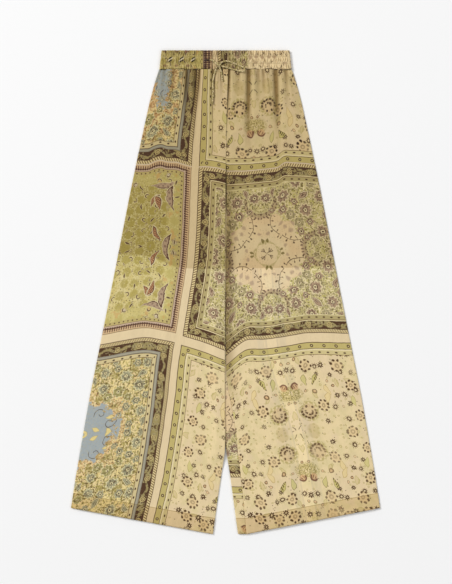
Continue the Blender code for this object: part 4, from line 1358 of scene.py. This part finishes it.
def left_back_place(column, down):
    radius = FOLD_STACK / 2
    inner_drop = INNER_DROP * down
    outer_x = leg_line(OUTSEAM * down, "half_width")
    fold_x = leg_line(inner_drop, "left_fold")
    turned = smooth((inner_drop - FOLD_START) / FOLD_TAPER)
    bend_x = fold_x + radius * turned
    strip = leg_line(inner_drop, "left_seam") - fold_x - radius
    margin = turned * (math.pi * radius + max(strip, 0.0))
    flat = outer_x - bend_x
    if column <= BACK_COLUMNS:
        run = -flat + across_leg(column, BACK_COLUMNS * 2, 2 * (flat - 0.004))
    else:
        run = -0.004 + (margin + 0.004) * (column - BACK_COLUMNS) / STRIP_COLUMNS
    flat_x = bend_x - min(run, 0.0)
    drop = inner_drop + (OUTSEAM - INNER_DROP) * down * (flat_x - fold_x) / (outer_x - fold_x)
    x, z = fold_over(run, bend_x, back_height(1, flat_x, drop))
    half = wall_at((1.0 - down) * INNER_DROP)
    z += pressed(outer_x - flat_x) * half
    if run > 0:
        z -= pressed(max(margin - run, 0.0)) * 0.0009 * turned
        z += turned * 0.0003 * noise.noise(Vector((x * 60.0, drop * 12.0, 4.0)))
    measure = back_measure(1, flat_x - max(run, 0.0), drop)
    return Vector((x, LEG_TOP - drop, z)), measure, back_shades(flat_x, drop, down)


left_back = cloth_piece("left_back",
                        panel_grid(BACK_COLUMNS + STRIP_COLUMNS, BACK_ROWS, left_back_place),
                        Vector((0, 0, -1)))

# ---------------------------------------------------------------------------------------------
# Waistband: a strip of the print doubled over elastic and shirred by two rows of stitching into three
# tiers, joined into a ring and laid flat.
# ---------------------------------------------------------------------------------------------
BAND_TOP = 0.5555
BAND_HEIGHT = 0.043
BAND_HALF_TOP = 0.147
BAND_HALF_FOOT = 0.152
BAND_STACK = 0.0064
BAND_SHELL = 0.0012             # the voile doubled
BAND_END_COLUMNS = 16
BAND_COLUMNS = 460
BAND_ROWS = 26
STITCH_ROWS = (0.0146, 0.0302)   # below the band's top
BAND_TIER = BAND_HEIGHT / 3
# The print's crosswise measure along the band: it is gathered less where the borders cross it
BAND_LINE = ((-0.1500, -0.1878), (-0.0518, -0.0258), (-0.0294, -0.0080), (-0.0182, 0.0080),
             (0.0058, 0.0380), (0.0564, 0.1190), (0.1500, 0.2730))
BAND_PRINT_TOP = 0.2275
TICK_PITCH = 0.0445


def band_relief(x, down, seed):
    """Shirring: puffs between the stitch rows, pinched into small uneven gathers, and the painted shade of
    its creases.
    """
    depth = BAND_HEIGHT * down
    near = min(abs(depth - row) for row in STITCH_ROWS)
    tier = sum(depth > row for row in STITCH_ROWS)
    edge = min(depth, BAND_HEIGHT - depth)
    pinch = math.exp(-(near / 0.0014) ** 2)
    puff = smooth(near / 0.0060)
    phase = x / 0.0049 + tier * 0.41 + 1.3 * noise.noise(Vector((x * 60.0, seed, tier * 3.0)))
    phase += 0.45 * noise.noise(Vector((x * 50.0, depth * 130.0, seed)))
    wave = math.cos(2 * math.pi * phase)
    slant = x / 0.0131 + tier * 0.5 - depth * 38.0 + 0.6 * noise.noise(Vector((x * 45.0, seed, tier * 5.0)))
    swell = math.cos(2 * math.pi * slant)
    uneven = 0.62 + 0.7 * noise.noise(Vector((x * 120.0, depth * 90.0, seed + 5.0)))
    height = 0.0017 * wave * uneven * (0.25 + 0.75 * puff) + 0.0007 * swell * puff + 0.0006 * puff
    height -= 0.0005 * pinch + 0.0006 * smooth(1.0 - edge / 0.0016)
    # Painted shade in the creases between gathers and puffs and along the stitch rows
    shade = 0.10 * (0.2 - wave) * uneven * puff + 0.34 * smooth((-swell - 0.45) / 0.5) * puff + 0.28 * pinch
    return height, min(1.0, max(0.0, shade))


def band_place(column, down):
    radius = BAND_STACK / 2
    straight = BAND_HALF_TOP + (BAND_HALF_FOOT - BAND_HALF_TOP) * down - radius
    x = straight * (2 * column / BAND_COLUMNS - 1)
    y = BAND_TOP - BAND_HEIGHT * down - 0.0026 * down ** 8 * noise.noise(Vector((abs(x) * 55.0, 2.0, 0.0)))
    if column <= BAND_COLUMNS:
        height, fold = band_relief(x, down, 1.0)
        height *= smooth((straight - abs(x)) / 0.004)
        place = Vector((x, y, BAND_STACK + height))
    elif column < BAND_COLUMNS + BAND_END_COLUMNS:
        angle = math.pi * (column - BAND_COLUMNS) / BAND_END_COLUMNS
        # A little painted shade on the band's rolled end
        x, fold = straight + radius * math.sin(angle), 0.15
        place = Vector((x, y, radius * (1 + math.cos(angle))))
    elif column <= 2 * BAND_COLUMNS + BAND_END_COLUMNS:
        x = straight * (1 - 2 * (column - BAND_COLUMNS - BAND_END_COLUMNS) / BAND_COLUMNS)
        height, fold = band_relief(x, down, 7.0)
        place = Vector((x, y, max(0.0, 0.0009 - 0.8 * height) * smooth((straight - abs(x)) / 0.004)))
    else:
        angle = math.pi * (column - 2 * BAND_COLUMNS - BAND_END_COLUMNS) / BAND_END_COLUMNS
        # A little painted shade on the band's rolled end
        x, fold = -straight - radius * math.sin(angle), 0.15
        place = Vector((x, y, radius * (1 - math.cos(angle))))
    measure = (on_curve(BAND_LINE, x), BAND_PRINT_TOP + BAND_HEIGHT * down)
    return place, measure, (1.0, 1.0, 1.0, fold)


def band_motifs(tree, colour, source):
    """The marks that fall on the band's strip of the print: slanted ticks and dabs on its olive
    part, round flower heads on its cream part."""
    strip = Coats(tree, colour)
    s, t, _ = parts(source)
    olive_part, cream_part = s.below(-0.052, 0.006), s.above(0.112, 0.006)
    x = ((s + 0.149 + TICK_PITCH / 2).wrap(TICK_PITCH) - TICK_PITCH / 2) / 1.65
    rise = (BAND_PRINT_TOP + BAND_TIER * 1.45 - t) - x * 0.6
    light = rise.size().below(0.0015, 0.0005) * x.size().below(0.0060, 0.0008)
    strip.coat(ink(238, 226, 204), light * olive_part * 0.85)
    dark = rise.size().between(0.0017, 0.0050, 0.0004) * x.size().below(0.0040, 0.0008)
    strip.coat(ink(44, 36, 22), dark * olive_part)
    stripes = s.between(-0.0250, -0.0086) * s.wave(2 * math.pi / 0.0046).above(-0.2, 0.3)
    strip.coat(ink(78, 50, 44), stripes * 0.8)
    x = ((s + 0.170 + TICK_PITCH / 2).wrap(TICK_PITCH) - TICK_PITCH / 2) / 1.65
    drop = ((t - BAND_PRINT_TOP + BAND_TIER * 1.0).wrap(BAND_TIER * 2.3) - BAND_TIER * 1.15) * 1.4
    strip.coat(ink(142, 106, 80), distance(x, drop).below(0.0044, 0.0016) * olive_part * 0.75)
    heads = scatter(point(s / 1.5, t), 0.0150, 0.5)
    strip.coat(ink(255, 234, 192), cream_part * 0.85)
    head = heads.radius.below(0.0048, 0.0014) * heads.chance.above(0.40, 0.01)
    middle = (t - BAND_PRINT_TOP - BAND_TIER * 1.45).size().below(BAND_TIER * 0.6, 0.004)
    strip.coat(ink(182, 150, 120), head * cream_part * (middle * 0.55 + 0.25))
    fleck = heads.radius.between(0.0048, 0.0068, 0.0006) * heads.turn.math("COSINE").above(0.75, 0.15)
    strip.coat(ink(104, 78, 48), fleck * cream_part * 0.8)
    return strip.colour


band_mesh = panel_grid(2 * (BAND_COLUMNS + BAND_END_COLUMNS), BAND_ROWS, band_place)
bmesh.ops.remove_doubles(band_mesh, verts=band_mesh.verts, dist=1e-6)
bmesh.ops.recalc_face_normals(band_mesh, faces=band_mesh.faces)
band = cloth_piece("waistband", band_mesh, None, BAND_SHELL, band_motifs)

# ---------------------------------------------------------------------------------------------
# Stitches: fine thread along the hems' turn-ups, along the waistband's gathering rows and round the
# buttonhole, laid on the cloth's own surface.  The buttonhole's thread is darker, as painted shadow.
# ---------------------------------------------------------------------------------------------
STITCH = 0.0022
STITCH_PITCH = 0.0031
THREAD_RADIUS = 0.00022


def surface_of(piece):
    return BVHTree.FromPolygons([vert.co for vert in piece.data.vertices],
                                [face.vertices for face in piece.data.polygons])


def add_stitch(bm, start, end, radius=THREAD_RADIUS):
    """A thread from start to end: a slim prism with narrow ends."""
    middle = (start + end) / 2
    turn = (end - start).to_track_quat("Z", "Y").to_matrix().to_4x4()
    made = bmesh.ops.create_uvsphere(bm, u_segments=6, v_segments=4, radius=1.0)
    slim = Matrix.Diagonal((radius, radius, (end - start).length / 2, 1.0))
    bmesh.ops.transform(bm, matrix=Matrix.Translation(middle) @ turn @ slim, verts=made["verts"])


def stitch_row(bm, surface, from_above, line):
    """Stitches at even steps along a line of places, each laid on the surface seen from above or
    from below."""
    aim = Vector((0, 0, -1 if from_above else 1))
    run = 0.0
    for a, b in zip(line, line[1:]):
        length = (b - a).length
        while run + STITCH < length:
            ends = []
            for along in (run, run + STITCH):
                hit = surface.ray_cast(a + (b - a) * (along / length) - aim * 0.05, aim)[0]
                if hit is not None:
                    ends.append(hit - aim * 0.0001)
            if len(ends) == 2:
                add_stitch(bm, *ends)
            run += STITCH_PITCH
        run = max(run - length, 0.0)


def stitched_piece(bm, name, colour):
    mesh = bpy.data.meshes.new(name)
    bm.to_mesh(mesh)
    bm.free()
    mesh.shade_smooth()
    mesh.materials.append(new_material(name + " thread", Base_Color=(*colour, 1.0), Roughness=0.6)[0])
    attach(in_scene(name, mesh), "root")


hem_stitches = bmesh.new()
hem_share = 1.0 - HEM_DEPTH / INNER_DROP
for panel, side, inner in ((right_front, -1, "right_inner"), (left_front, 1, "left_seam"),
                           (right_back, -1, "right_inner"), (left_back, 1, "left_fold")):
    outer_drop, inner_drop = OUTSEAM * hem_share, INNER_DROP * hem_share
    outer_end = Vector((side * (leg_line(outer_drop, "half_width") - PRESS), LEG_TOP - outer_drop, 0.0))
    inner_end = Vector((leg_line(inner_drop, inner) + side * PRESS, LEG_TOP - inner_drop, 0.0))
    stitch_row(hem_stitches, surface_of(panel), panel in (right_front, left_front), (outer_end, inner_end))
stitched_piece(hem_stitches, "hem_stitches", ink(176, 158, 108))

band_stitches = bmesh.new()
band_surface = surface_of(band)
for row in STITCH_ROWS:
    row_ends = [Vector((side * (BAND_HALF_TOP - PRESS), BAND_TOP - row, 0.0)) for side in (-1, 1)]
    for from_above in (True, False):
        stitch_row(band_stitches, band_surface, from_above, row_ends)
stitched_piece(band_stitches, "waistband_stitches", ink(196, 178, 124))

# The buttonhole's stitches are thick and nearly black: real thread, drawn darker as painted shadow inside the
# slit
buttonhole = bmesh.new()
HOLE_CENTRE = Vector((-0.0412, 0.5329, 0.0))
HOLE_STITCHES = 46
for index in range(HOLE_STITCHES):
    angle = 2 * math.pi * index / HOLE_STITCHES
    ends = []
    for reach_x, reach_y in ((0.0050, 0.0004), (0.0082, 0.0030)):
        above = HOLE_CENTRE + Vector((math.cos(angle) * reach_x, math.sin(angle) * reach_y, 0.05))
        ends.append(band_surface.ray_cast(above, Vector((0, 0, -1)))[0] + Vector((0, 0, 0.0001)))
    add_stitch(buttonhole, *ends, 0.0005)
stitched_piece(buttonhole, "buttonhole_stitches", ink(54, 38, 30))

# ---------------------------------------------------------------------------------------------
# Floor and lights: a white floor under wide soft lights, the brightest beyond the waist on the right
# leg's side.
# ---------------------------------------------------------------------------------------------
floor_mesh = bmesh.new()
bmesh.ops.create_grid(floor_mesh, x_segments=1, y_segments=1, size=6.0)
floor_data = bpy.data.meshes.new("floor")
floor_mesh.to_mesh(floor_data)
floor_mesh.free()
floor = in_scene("floor", floor_data)
floor.location = (0.0, 0.0, -0.0004)
floor_data.materials.append(
    new_material("floor white", Base_Color=(0.955, 0.955, 0.955, 1.0), Roughness=0.9)[0])


def soft_light(name, place, power, size):
    lamp = bpy.data.lights.new(name, "AREA")
    lamp.energy = power
    lamp.shape = "SQUARE"
    lamp.size = size
    light = in_scene(name, lamp)
    light.location = place
    light.rotation_euler = (-Vector(place)).to_track_quat("-Z", "Y").to_euler()


soft_light("key", (-7.6, 5.3, 7.3), 985.0, 4.2)
soft_light("fill", (4.2, -1.2, 4.6), 84.0, 4.0)
world = bpy.data.worlds.new("studio")
world.use_nodes = True
world.node_tree.nodes["Background"].inputs["Color"].default_value = (1.0, 1.0, 1.0, 1.0)
world.node_tree.nodes["Background"].inputs["Strength"].default_value = 0.41
bpy.context.scene.world = world
bpy.context.scene.view_settings.view_transform = "Standard"
